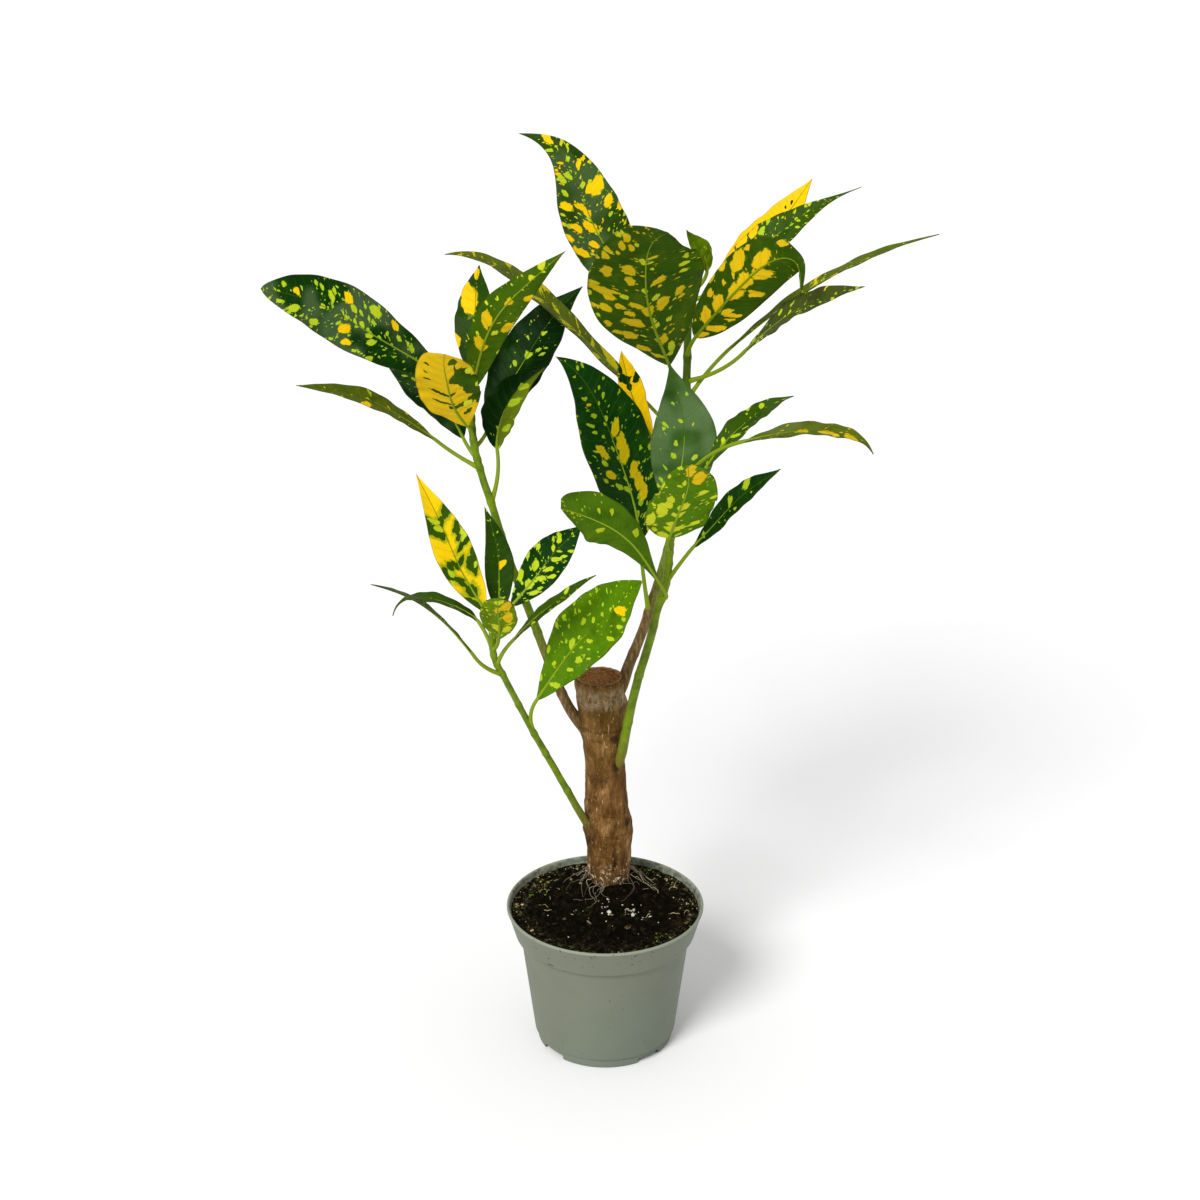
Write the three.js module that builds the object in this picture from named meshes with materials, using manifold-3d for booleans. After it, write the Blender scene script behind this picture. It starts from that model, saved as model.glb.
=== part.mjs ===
// A young gold dust croton in a round nursery pot.
// Millimetres, +Z up, origin at the centre of the pot's underside.
// The plant faces -Y: x runs to the right, y runs to the back.

import * as THREE from "three";
import { mergeVertices } from "three/addons/utils/BufferGeometryUtils.js";
import Module from "manifold-3d";

const wasm = await Module();
wasm.setup();

// Clearance between pieces that touch on the real plant.
const GAP = 0.3;

// Pot: outer radii and heights of a tapered pot with a rim band.
const POT = {
  height: 68.7,
  rimRadius: 45,
  bandFoot: 55,
  bandFootRadius: 41.3,
  wallTopRadius: 38.8,
  wallFoot: 5.2,
  wallFootRadius: 32.6,
  footRadius: 31.2,
  recessRadius: 27.5,
  recessHeight: 1.4,
  floorTop: 3,
  wall: 1.3,
  lip: 0.5,
  sides: 40,
};

// Four drain notches in the foot, each opening into a slot in the floor.
const NOTCH = { count: 4, firstDeg: -50, width: 13, height: 2.6, slotDepth: 5 };

// Soil: its level at the wall, and the mound that the trunk stands in.
const SOIL = { level: 65.6, mound: 9, moundRadius: 19, lump: 0.7, sides: 26 };

// Trunk: height, centre x, centre y and radius, from its buried foot to the cut top.
const TRUNK = [
  { z: 34, x: 2, y: 15, radius: 7 },
  { z: 62, x: 2, y: 15, radius: 9.4 },
  { z: 78, x: 1.8, y: 15, radius: 9.9 },
  { z: 88, x: 1.9, y: 14.8, radius: 10 },
  { z: 98, x: 1.8, y: 14.5, radius: 10.9 },
  { z: 104, x: 1.2, y: 14.2, radius: 10.4 },
  { z: 112, x: 0.6, y: 14, radius: 9.8 },
  { z: 122, x: 0.2, y: 13.5, radius: 9.2 },
  { z: 133, x: 0, y: 13, radius: 9 },
  { z: 146, x: -0.6, y: 12.5, radius: 9.5 },
  { z: 158, x: -1.6, y: 12, radius: 10.2 },
  { z: 168, x: -2.3, y: 12, radius: 10.6 },
  { z: 174, x: -2.6, y: 12, radius: 11.1 },
  { z: 177, x: -2.7, y: 12, radius: 11 },
];
const CUT = { rim: 1.5, dish: 2.2, sides: 22, bark: 0.28 };

// Shoots: the points that each stem grows through, and its radius at foot and top.
const SHOOTS = {
  upper_left: {
    colour: 0x7d9a2a,
    foot: 2.5,
    top: 1.5,
    points: [
      [-4, 12, 146],
      [-12, 12, 155],
      [-18, 12.5, 165],
      [-24, 14, 180],
      [-34, 18, 207],
      [-42.5, 21, 230],
      [-49.5, 25, 253],
      [-53.5, 27, 265],
      [-56.5, 29, 277],
      [-58, 31, 290],
      [-58.5, 32, 299],
    ],
  },
  lower_left: {
    colour: 0x6c8a22,
    foot: 1.8,
    top: 1.3,
    points: [
      [-1, 11, 96],
      [-7, 9, 103],
      [-12, 6, 113],
      [-20, 2, 131],
      [-32, -8, 160],
      [-43, -16, 188],
      [-47.5, -19, 200],
      [-48, -22, 217],
    ],
  },
  centre: {
    colour: 0x6f9a1c,
    foot: 2.3,
    top: 1.7,
    points: [
      [1, 11, 129],
      [6.5, 7, 139],
      [8.5, 3, 150],
      [13, -5, 178],
      [19, -11, 204],
      [22, -15, 220],
      [25, -17, 231],
      [26.5, -20, 245],
      [27, -24, 265],
    ],
  },
  upper_right: {
    colour: 0x7a7f38,
    foot: 2.6,
    top: 1.6,
    points: [
      [2, 12, 161],
      [7.5, 14, 172],
      [11, 16, 182],
      [17, 19, 197],
      [20.5, 22, 208],
      [24, 24, 219],
      [30.5, 28, 245],
      [34, 32, 276],
      [35, 35, 309],
      [35.5, 37, 350],
    ],
  },
};

// Leaves. joint: height at which the petiole leaves the stem. The midrib runs from base to tip
// through the via points: one at half its way, or two at a third and two thirds of an S bend.
// roll turns the blade about its midrib, lifting the edge that is on the left as seen from the
// stem. heading: compass angle of a blade that rises too steeply to have its own.
// belly: how far along the blade is widest. taper: under 1 rounds the tip, over 1 draws it out.
// fold: how far each half lifts from the midrib. tint: its main colour. Angles are in degrees.
const LEAVES = {
  upper_left: [
    {
      joint: 290, base: [-67, 27, 308], via: [[-105, 8, 340]], tip: [-140, -4, 357],
      width: 26.5, roll: -66, tint: "dark", belly: 0.52, taper: 0.7,
    },
    {
      joint: 269, base: [-73, 24, 283], via: [[-98, 8, 305]], tip: [-127, -10, 318],
      width: 10.5, roll: -34, tint: "light",
    },
    {
      joint: 273, base: [-62, 38, 279], via: [[-77, 52, 295]], tip: [-100, 66, 308],
      width: 19, roll: -22, tint: "dark",
    },
    {
      joint: 281, base: [-59, 22, 290], via: [[-66, 8, 310]], tip: [-66, -6, 330],
      width: 27, roll: 0, tint: "gold", heading: -95, fold: 2, belly: 0.5, taper: 0.25,
    },
    {
      joint: 286, base: [-57, 25, 304], via: [[-44, 10, 341]], tip: [-16, -10, 374],
      width: 16.5, roll: -52, tint: "light",
    },
    {
      joint: 292, base: [-59, 38, 310], via: [[-57, 50, 332]], tip: [-55, 64, 350],
      width: 17.5, roll: -15, tint: "dark",
    },
    {
      joint: 278, base: [-51, 38, 284], via: [[-34, 52, 314]], tip: [-10, 66, 340],
      width: 27, roll: 24, tint: "dark",
    },
    {
      joint: 254, base: [-47, 31, 276], via: [[-43, 33, 295]], tip: [-26, 36, 312],
      width: 20, roll: 38, tint: "dark", fold: 22,
    },
  ],
  lower_left: [
    {
      joint: 212, base: [-51, -17, 220], via: [[-65, -2, 242]], tip: [-81, 12, 272],
      width: 17.5, roll: -22, tint: "gold",
    },
    {
      joint: 207, base: [-46, -9, 215], via: [[-46, 4, 233]], tip: [-52, 12, 257],
      width: 13, roll: 0, tint: "dark",
    },
    {
      joint: 209, base: [-40, -21, 224], via: [[-24, -14, 242]], tip: [-10, -8, 256],
      width: 17.5, roll: 45, tint: "dark",
    },
    {
      joint: 196, base: [-40, -24, 209], via: [[-22, -34, 231]], tip: [-4, -42, 247],
      width: 7, roll: 36, tint: "dark",
    },
    {
      joint: 201, base: [-54, -18, 216], via: [[-65, -16, 223], [-81, -13, 225]], tip: [-91, -12, 216],
      width: 9.5, roll: 0, tint: "light",
    },
    {
      joint: 191, base: [-56, -26, 204], via: [[-73, -38, 230]], tip: [-95, -52, 247],
      width: 7, roll: -10, tint: "dark",
    },
    {
      joint: 204, base: [-45, -30, 213], via: [[-44, -42, 228]], tip: [-44, -52, 241],
      width: 15.5, roll: 0, tint: "light", heading: -90, fold: 2, belly: 0.5, taper: 0.4,
    },
    {
      joint: 158, base: [-30, -14, 177], via: [[-7, -27, 215]], tip: [15, -36, 242],
      width: 29.5, roll: 66, tint: "light", belly: 0.52, taper: 0.95,
    },
  ],
  centre: [
    {
      joint: 257, base: [28, -19, 265], via: [[32, -4, 295]], tip: [26, 4, 324],
      width: 28, roll: 0, tint: "dark", heading: 85, belly: 0.44, taper: 1.4,
    },
    {
      joint: 249, base: [26, -31, 259], via: [[31, -49, 282]], tip: [32, -66, 303],
      width: 28, roll: 0, tint: "light", heading: -80, fold: 0, belly: 0.36, taper: 0.45,
    },
    {
      joint: 226, base: [25, -25, 232], via: [[6, -42, 264]], tip: [-18, -34, 273],
      width: 22.5, roll: 74, tint: "light", belly: 0.7, taper: 0.35,
    },
    {
      joint: 252, base: [41, -22, 286], via: [[58, -14, 304]], tip: [78, -2, 311],
      width: 14, roll: 2, tint: "dark",
    },
    {
      joint: 243, base: [55, -38, 303], via: [[72, -42, 308], [92, -47, 310]], tip: [106, -51, 302],
      width: 13, roll: 7, tint: "light",
    },
    {
      joint: 233, base: [36, -27, 253], via: [[52, -40, 277]], tip: [69, -54, 297],
      width: 12.5, roll: 55, tint: "dark",
    },
  ],
  upper_right: [
    {
      joint: 338, base: [25, 41, 345], via: [[-1, 48, 365], [-13, 56, 391]], tip: [-37, 64, 407],
      width: 29, roll: -48, tint: "dark", belly: 0.38,
    },
    {
      joint: 303, base: [27, 22, 317], via: [[18, -4, 349], [15, -22, 373]], tip: [24, -34, 387],
      width: 47, roll: 12, tint: "light", heading: -95, fold: 0, belly: 0.5, taper: 0.4,
    },
    {
      joint: 331, base: [45, 48, 342], via: [[70, 58, 365]], tip: [89, 67, 387],
      width: 18, roll: 30, tint: "gold",
    },
    {
      joint: 341, base: [47, 38, 347], via: [[75, 42, 371]], tip: [108, 46, 388],
      width: 17, roll: 42, tint: "dark", belly: 0.38, taper: 2.2,
    },
    {
      joint: 317, base: [38, 26, 328], via: [[54, 12, 352], [72, -4, 369]], tip: [78, -16, 357],
      width: 24.5, roll: -62, tint: "gold", belly: 0.42, taper: 0.95,
    },
    {
      joint: 297, base: [52, 33, 320], via: [[92, 30, 352]], tip: [139, 28, 372],
      width: 11, roll: 2, tint: "light",
    },
    {
      joint: 306, base: [59, 20, 324], via: [[79, 4, 346]], tip: [104, -12, 360],
      width: 15, roll: 33, tint: "dark",
    },
    {
      joint: 280, base: [19, 46, 292], via: [[-10, 44, 324], [-40, 41, 351]], tip: [-68, 38, 361],
      width: 15, roll: -18, tint: "light",
    },
    {
      joint: 204, base: [15, 14, 240], via: [[8, 11, 276], [-5, 8, 307]], tip: [-21, 8, 325],
      width: 32, roll: -70, tint: "dark", belly: 0.42, taper: 1.3,
    },
    {
      joint: 262, base: [21, 32, 280], via: [[11, 34, 302]], tip: [7, 37, 319],
      width: 12.5, roll: -38, tint: "gold",
    },
    {
      joint: 344, base: [43, 38, 353], via: [[42, 36, 360], [38, 34, 366]], tip: [34, 31, 373],
      width: 9.5, roll: -85, tint: "light",
    },
  ],
};

// How every leaf is built: thicknesses, the petiole, and the wave along the margins.
const BLADE = {
  thickness: 0.7,
  keel: 0.55,
  petioleRadius: 0.85,
  tipHalfWidth: 0.4,
  belly: 0.48,
  taper: 1.15,
  fold: 12,
  wave: 0.07,
  waves: 2.5,
  petioleRows: 3,
  bladeRows: 9,
  columns: 4,
};

const COLOURS = {
  pot: 0x78846f,
  soil: 0x231a12,
  trunk: 0x6e5136,
  dark: 0x24501b,
  light: 0x6b9628,
  gold: 0xd0ae22,
};

const ROUGHNESS = { pot: 0.55, soil: 0.95, bark: 0.85, stem: 0.6, leaf: 0.4 };

// A closed geometry as a solid that can be joined or cut.
function solidOf(geometry) {
  const bare = geometry.clone();
  bare.deleteAttribute("normal");
  bare.deleteAttribute("uv");
  const merged = mergeVertices(bare, 1e-4);
  const vertProperties = new Float32Array(merged.attributes.position.array);
  const triVerts = new Uint32Array(merged.index.array);
  return new wasm.Manifold(new wasm.Mesh({ numProp: 3, vertProperties, triVerts }));
}

// A solid's surface as a geometry again.
function geometryOf(solid) {
  const { vertProperties, triVerts } = solid.getMesh();
  const geometry = new THREE.BufferGeometry();
  geometry.setAttribute("position", new THREE.BufferAttribute(vertProperties, 3));
  geometry.setIndex(new THREE.BufferAttribute(triVerts, 1));
  const faceted = geometry.toNonIndexed();
  faceted.computeVertexNormals();
  return faceted;
}

function namedMesh(name, geometry, color, roughness) {
  const material = new THREE.MeshStandardMaterial({ color, roughness, metalness: 0 });
  const mesh = new THREE.Mesh(geometry, material);
  mesh.name = name;
  return mesh;
}

// A lathe turns about Y; this stands its axis up along Z.
function turned(profile, sides) {
  const points = profile.map(([radius, height]) => new THREE.Vector2(radius, height));
  return new THREE.LatheGeometry(points, sides).rotateX(Math.PI / 2);
}

// Moves every vertex of a geometry with a function that changes a Vector3.
function reshape(geometry, move) {
  const positions = geometry.attributes.position;
  const point = new THREE.Vector3();
  for (let i = 0; i < positions.count; i += 1) {
    point.fromBufferAttribute(positions, i);
    move(point);
    positions.setXYZ(i, point.x, point.y, point.z);
  }
  return geometry;
}

// Inner face of the pot wall, from the floor to the lip.
function innerProfile(inset) {
  const { wall } = POT;
  return [
    [POT.wallFootRadius - wall - inset, POT.floorTop],
    [POT.wallTopRadius - wall - inset, POT.bandFoot - 2],
    [POT.bandFootRadius - wall - inset, POT.bandFoot + 1],
    [POT.rimRadius - wall - inset, POT.height - POT.lip],
  ];
}

function buildPot() {
  const { wall, lip } = POT;
  const outside = [
    [0, POT.recessHeight],
    [POT.recessRadius, POT.recessHeight],
    [POT.recessRadius + 0.6, 0],
    [POT.footRadius - 0.4, 0],
    [POT.footRadius, 0.5],
    [POT.footRadius + 0.2, POT.wallFoot - 0.7],
    [POT.wallFootRadius, POT.wallFoot],
    [POT.wallTopRadius, POT.bandFoot - 0.8],
    [POT.bandFootRadius - 0.3, POT.bandFoot],
    [POT.bandFootRadius, POT.bandFoot + 0.6],
    [POT.rimRadius - 0.4, POT.height - 1.6],
    [POT.rimRadius, POT.height - 1.2],
    [POT.rimRadius, POT.height - lip],
    [POT.rimRadius - lip, POT.height],
    [POT.rimRadius - wall + lip, POT.height],
  ];
  const inside = innerProfile(0).reverse();
  const profile = [...outside, ...inside, [0, POT.floorTop]];
  let pot = solidOf(turned(profile, POT.sides));
  const reach = POT.footRadius + 4 - (POT.recessRadius - NOTCH.slotDepth);
  for (let i = 0; i < NOTCH.count; i += 1) {
    const angle = THREE.MathUtils.degToRad(NOTCH.firstDeg + (360 / NOTCH.count) * i);
    const foot = new THREE.BoxGeometry(reach, NOTCH.width, 2 * NOTCH.height);
    foot.translate(POT.footRadius + 4 - reach / 2, 0, 0);
    const slot = new THREE.BoxGeometry(NOTCH.slotDepth, NOTCH.width - 3, 4 * POT.floorTop);
    slot.translate(POT.recessRadius - NOTCH.slotDepth / 2, 0, 0);
    for (const cutter of [foot, slot]) {
      cutter.rotateZ(angle);
      pot = pot.subtract(solidOf(cutter));
    }
  }
  return geometryOf(pot);
}

// The trunk's centre and radius at a height.
function trunkAt(z) {
  const last = TRUNK.length - 1;
  const above = TRUNK.findIndex((ring) => ring.z >= z);
  const upper = TRUNK[above === -1 ? last : Math.max(above, 1)];
  const lower = TRUNK[TRUNK.indexOf(upper) - 1];
  const share = THREE.MathUtils.clamp((z - lower.z) / (upper.z - lower.z), 0, 1);
  const mix = (key) => THREE.MathUtils.lerp(lower[key], upper[key], share);
  return { x: mix("x"), y: mix("y"), radius: mix("radius") };
}

// The trunk, or the same trunk made fatter by a clearance.
function trunkSolid(clearance) {
  const foot = TRUNK[0];
  const head = TRUNK[TRUNK.length - 1];
  const side = TRUNK.map((ring) => [ring.radius + clearance, ring.z]);
  const profile = [
    [0, foot.z - clearance],
    [foot.radius + clearance - 1, foot.z - clearance],
    ...side.slice(0, -1),
    [head.radius + clearance, head.z - 1],
    [head.radius + clearance - 0.7, head.z + clearance],
    [head.radius - CUT.rim, head.z + clearance],
    [head.radius - CUT.rim - 1.6, head.z - CUT.dish * 0.75 + clearance],
    [4, head.z - CUT.dish + clearance],
    [0, head.z - CUT.dish - 0.3 + clearance],
  ];
  const geometry = reshape(turned(profile, CUT.sides), (point) => {
    const { x, y } = trunkAt(point.z);
    const angle = Math.atan2(point.y, point.x);
    const ridge = Math.sin(5 * angle + point.z * 0.05) + 0.6 * Math.sin(3 * angle - point.z * 0.11);
    const away = Math.hypot(point.x, point.y);
    const grown = away + (away > 5 ? CUT.bark * ridge : 0);
    point.x = x + Math.cos(angle) * (away > 1e-6 ? grown : 0);
    point.y = y + Math.sin(angle) * (away > 1e-6 ? grown : 0);
  });
  return solidOf(geometry);
}

// Height of the soil's surface: nearly level, with a mound round the trunk and small lumps.
function soilHeight(x, y) {
  const { x: cx, y: cy } = trunkAt(SOIL.level);
  const away = Math.hypot(x - cx, y - cy) / SOIL.moundRadius;
  const mound = SOIL.mound * Math.exp(-Math.pow(away, 4));
  const lumps = Math.sin(x * 0.55 + 1.3) * Math.cos(y * 0.48 - 0.7) + 0.6 * Math.sin(x * 0.21 - y * 0.9);
  const edge = Math.min(1, Math.max(0, (POT.rimRadius - 3 - Math.hypot(x, y)) / 6));
  return SOIL.level + mound * edge + SOIL.lump * lumps * edge;
}

function buildSoil() {
  const inner = innerProfile(GAP);
  const [footRadius] = inner[0];
  const bottom = POT.floorTop + GAP;
  const [bandRadius, bandHeight] = inner[2];
  const [lipRadius, lipHeight] = inner[3];
  const climb = (SOIL.level - bandHeight) / (lipHeight - bandHeight);
  const topRadius = bandRadius + (lipRadius - bandRadius) * climb;
  const rings = [0.94, 0.86, 0.76, 0.66, 0.56, 0.46, 0.36, 0.26, 0.15];
  const profile = [
    [0, bottom],
    [footRadius, bottom],
    inner[1],
    inner[2],
    [topRadius, SOIL.level],
    ...rings.map((share) => [topRadius * share, SOIL.level]),
    [0, SOIL.level],
  ];
  const body = reshape(turned(profile, SOIL.sides), (point) => {
    if (point.z > SOIL.level - 0.01) point.z = soilHeight(point.x, point.y);
  });
  return geometryOf(solidOf(body).subtract(trunkSolid(GAP)));
}

// A smooth curve through a shoot's points.
function stemCurve(shoot) {
  const points = shoot.points.map((place) => new THREE.Vector3(...place));
  return new THREE.CatmullRomCurve3(points, false, "catmullrom", 0.5);
}

// A tapered round stem along a curve, with a rounded bud end, or the same made fatter.
function stemSolid(shoot, clearance) {
  const curve = stemCurve(shoot);
  const rows = shoot.points.length * 2;
  const frames = curve.computeFrenetFrames(rows, false);
  const stem = new THREE.CylinderGeometry(1, 1, 1, 8, rows);
  reshape(stem, (point) => {
    const row = Math.round((point.y + 0.5) * rows);
    const share = row / rows;
    const swell = 1 + 0.55 * Math.exp(-share * 14);
    const bud = row === rows ? 0.45 : 1;
    const slim = THREE.MathUtils.lerp(shoot.foot, shoot.top, Math.sqrt(share));
    const radius = (slim * swell + clearance) * bud;
    const centre = curve.getPointAt(share);
    const side = frames.normals[row].clone().multiplyScalar(point.z * radius);
    const across = frames.binormals[row].clone().multiplyScalar(point.x * radius);
    point.copy(centre).add(side).add(across);
  });
  return solidOf(stem);
}

// Where a stem's middle line passes a height.
function stemPoint(shoot, height) {
  const curve = stemCurve(shoot);
  let low = 0;
  let high = 1;
  for (let i = 0; i < 30; i += 1) {
    const middle = (low + high) / 2;
    if (curve.getPointAt(middle).z < height) low = middle;
    else high = middle;
  }
  return curve.getPointAt(low);
}

// Share of the full width at a share of the blade's length, narrow at both ends.
function bladeOutline(t, belly, taper) {
  const shifted = Math.pow(t, Math.log(0.5) / Math.log(belly));
  return Math.pow(Math.sin(Math.PI * shifted), t < belly ? 0.85 : taper);
}

// A weighted sum of points.
function blend(points, weights) {
  const sum = new THREE.Vector3();
  points.forEach((point, i) => sum.addScaledVector(point, weights[i]));
  return sum;
}

// The curve that a blade grows along, through its via points.
function midrib(leaf) {
  const points = [leaf.base, ...leaf.via, leaf.tip].map((at) => new THREE.Vector3(...at));
  const tip = points[points.length - 1];
  const weights =
    points.length === 3
      ? [[0, 4 / 3, -1 / 3], [-1 / 3, 4 / 3, 0]]
      : [[-5 / 6, 3, -3 / 2, 1 / 3], [1 / 3, -3 / 2, 3, -5 / 6]];
  const [out, home] = weights.map((row) => blend(points, row));
  return new THREE.CubicBezierCurve3(points[0], out, home, tip);
}

// The rows of a leaf, from the petiole's root to the tip, each with its centre, axes and sizes.
function leafRows(leaf, root) {
  const blade = midrib(leaf);
  const [base, tip] = [blade.v0, blade.v3];
  const lead = blade.getTangent(0).multiplyScalar(base.distanceTo(root) * 0.5);
  const petiole = new THREE.QuadraticBezierCurve3(root, base.clone().sub(lead), base);
  const chord = tip.clone().sub(base);
  const heading =
    leaf.heading === undefined ? Math.atan2(chord.y, chord.x) : THREE.MathUtils.degToRad(leaf.heading);
  const left = new THREE.Vector3(-Math.sin(heading), Math.cos(heading), 0);
  const roll = THREE.MathUtils.degToRad(leaf.roll);
  const row = (curve, share, t) => {
    const along = curve.getTangent(share);
    const flat = left.clone().addScaledVector(along, -left.dot(along)).normalize();
    const rise = along.clone().cross(flat);
    const side = flat.clone().multiplyScalar(Math.cos(roll)).addScaledVector(rise, Math.sin(roll));
    const face = rise.clone().multiplyScalar(Math.cos(roll)).addScaledVector(flat, -Math.sin(roll));
    return { centre: curve.getPoint(share), side, face, t };
  };
  const rows = [];
  for (let i = 0; i < BLADE.petioleRows; i += 1) rows.push(row(petiole, i / BLADE.petioleRows, 0));
  for (let i = 0; i <= BLADE.bladeRows; i += 1) {
    const share = i / BLADE.bladeRows;
    rows.push(row(blade, share, share));
  }
  return rows;
}

// One leaf as a closed solid. Both faces share the same split into triangles.
function leafSolid(leaf, root) {
  const rows = leafRows(leaf, root);
  const fold = THREE.MathUtils.degToRad(leaf.fold ?? BLADE.fold);
  const count = BLADE.columns + 1;
  const positions = [];
  const point = (row, column, above) => {
    const u = (2 * column) / BLADE.columns - 1;
    const { t } = row;
    const half = (leaf.width / 2) * bladeOutline(t, leaf.belly ?? BLADE.belly, leaf.taper ?? BLADE.taper);
    const stalk = BLADE.petioleRadius * Math.max(0, 1 - t * 5);
    const reach = Math.max(half, stalk, BLADE.tipHalfWidth);
    const open = Math.min(1, t * 6);
    const ripple = Math.sin(2 * Math.PI * (BLADE.waves * t + (u > 0 ? 0.3 : 0)));
    const waved = BLADE.wave * ripple * u * u * half;
    const lift = Math.abs(u) * reach * Math.sin(fold) * open + waved;
    const round = stalk * (1 - 0.6 * u * u);
    const thin = BLADE.thickness / 2 + (above || u !== 0 ? 0 : BLADE.keel * (1 - t));
    const skin = Math.max(round, thin) * (above ? 1 : -1);
    return row.centre
      .clone()
      .addScaledVector(row.side, u * reach * (1 - (1 - Math.cos(fold)) * open))
      .addScaledVector(row.face, lift + skin);
  };
  for (const row of rows) {
    for (const above of [true, false]) {
      for (let column = 0; column < count; column += 1) {
        positions.push(...point(row, column, above).toArray());
      }
    }
  }
  const at = (row, column, above) => (row * 2 + (above ? 0 : 1)) * count + column;
  const index = [];
  const quad = (a, b, c, d) => index.push(a, b, c, a, c, d);
  const last = rows.length - 1;
  for (let i = 0; i < last; i += 1) {
    for (let j = 0; j < BLADE.columns; j += 1) {
      const [a, b, c, d] = [at(i, j, true), at(i, j + 1, true), at(i + 1, j + 1, true), at(i + 1, j, true)];
      quad(a, d, c, b);
      const under = [a, b, c, d].map((vertex) => vertex + count);
      quad(under[0], under[1], under[2], under[3]);
    }
    quad(at(i, 0, true), at(i, 0, false), at(i + 1, 0, false), at(i + 1, 0, true));
    const right = BLADE.columns;
    quad(at(i, right, false), at(i, right, true), at(i + 1, right, true), at(i + 1, right, false));
  }
  for (let j = 0; j < BLADE.columns; j += 1) {
    quad(at(0, j, true), at(0, j + 1, true), at(0, j + 1, false), at(0, j, false));
    quad(at(last, j, true), at(last, j, false), at(last, j + 1, false), at(last, j + 1, true));
  }
  const geometry = new THREE.BufferGeometry();
  geometry.setAttribute("position", new THREE.Float32BufferAttribute(positions, 3));
  geometry.setIndex(index);
  return solidOf(geometry);
}

const plant = new THREE.Group();
plant.add(namedMesh("pot", buildPot(), COLOURS.pot, ROUGHNESS.pot));
plant.add(namedMesh("soil", buildSoil(), COLOURS.soil, ROUGHNESS.soil));
plant.add(namedMesh("trunk", geometryOf(trunkSolid(0)), COLOURS.trunk, ROUGHNESS.bark));

for (const [side, shoot] of Object.entries(SHOOTS)) {
  const group = new THREE.Group();
  const stem = stemSolid(shoot, 0).subtract(trunkSolid(GAP));
  group.add(namedMesh("stem_" + side, geometryOf(stem), shoot.colour, ROUGHNESS.stem));
  const seat = stemSolid(shoot, GAP);
  LEAVES[side].forEach((leaf, i) => {
    const blade = leafSolid(leaf, stemPoint(shoot, leaf.joint)).subtract(seat);
    const name = "leaf_" + side + "_" + (i + 1);
    group.add(namedMesh(name, geometryOf(blade), COLOURS[leaf.tint], ROUGHNESS.leaf));
  });
  plant.add(group);
}

export default plant;
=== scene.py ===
"""A young gold dust croton in a round nursery pot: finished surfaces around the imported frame.

Lengths marked with MM are millimetres; everything in Blender is in metres, +Z up, facing -Y.
"""

import math
import random
from collections import namedtuple

import bmesh
import bpy
from mathutils import Matrix, Vector, noise


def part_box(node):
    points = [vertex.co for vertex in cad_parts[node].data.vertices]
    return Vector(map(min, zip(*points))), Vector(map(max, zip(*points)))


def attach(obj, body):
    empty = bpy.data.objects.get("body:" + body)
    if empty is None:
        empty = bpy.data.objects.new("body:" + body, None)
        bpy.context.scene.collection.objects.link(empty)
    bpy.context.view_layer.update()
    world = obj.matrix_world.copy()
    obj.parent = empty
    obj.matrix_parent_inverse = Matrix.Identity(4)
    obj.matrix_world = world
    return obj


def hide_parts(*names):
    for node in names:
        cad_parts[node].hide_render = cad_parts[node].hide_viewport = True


bl_info = {
    "name": "Potted Croton",
    "version": (1, 0, 0),
    "blender": (4, 5, 0),
    "location": "View3D > Sidebar > Croton",
    "description": "Models a potted gold dust croton with speckled leaves, barked trunk and potting soil",
    "category": "Add Mesh",
}

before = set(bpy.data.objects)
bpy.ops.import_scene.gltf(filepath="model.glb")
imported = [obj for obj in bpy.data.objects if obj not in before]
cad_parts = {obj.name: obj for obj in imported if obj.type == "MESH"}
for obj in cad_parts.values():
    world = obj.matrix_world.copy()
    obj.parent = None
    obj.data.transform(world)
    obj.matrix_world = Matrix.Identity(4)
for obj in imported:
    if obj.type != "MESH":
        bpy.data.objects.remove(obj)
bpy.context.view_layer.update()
_, POT_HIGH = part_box("pot")
MM = 0.001
WELD = 1e-6

Leaf = namedtuple(
    "Leaf",
    "joint base via tip width roll tint heading fold belly taper",
    defaults=(None, 12, 0.48, 1.15),
)
Shoot = namedtuple("Shoot", "foot top points woody scars dusk", defaults=[0.0])

# Pot: radii and heights of a tapered pot with a rim band, and its drain notches with the slots that
# they open into, in millimetres. notch_first is a turn in degrees.
POT = {
    "band_foot": 55,
    "band_foot_radius": 41.3,
    "wall_top_radius": 38.8,
    "wall_foot": 5.2,
    "wall_foot_radius": 32.6,
    "foot_radius": 31.2,
    "recess_radius": 27.5,
    "recess_height": 1.4,
    "floor_top": 3,
    "notches": 4,
    "notch_first": -50,
    "notch_width": 13,
    "notch_height": 2.6,
    "slot_depth": 5,
}

# Dirt on the pot: the heights between which the dust at the foot fades out, and the dust on the band
# and the crust inside it come in, the height past which the crust thickens, and the place and half
# size of one smear.
DIRT = {
    "foot": (0, 20),
    "band": (48, 68),
    "inside": (58, 62),
    "crust": 70,
    "smear": (-24.6, -34.2, 56.2),
    "smear_size": (2.2, 3, 0.8),
}

# Soil: its level at the wall, the mound that the trunk stands in, its gap to the outside of the pot,
# how far from the trunk crumbs lie, and how far from the middle crumbs, threads and litter may lie.
SOIL = {
    "level": 65.6,
    "mound": 9,
    "mound_radius": 19,
    "edge_radius": 43.2,
    "bottom": 3.3,
    "inset": 1.7,
    "trunk_gap": 11.5,
    "crumb_reach": 42.4,
    "thread_reach": 42.5,
    "litter_reach": 42,
}

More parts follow.
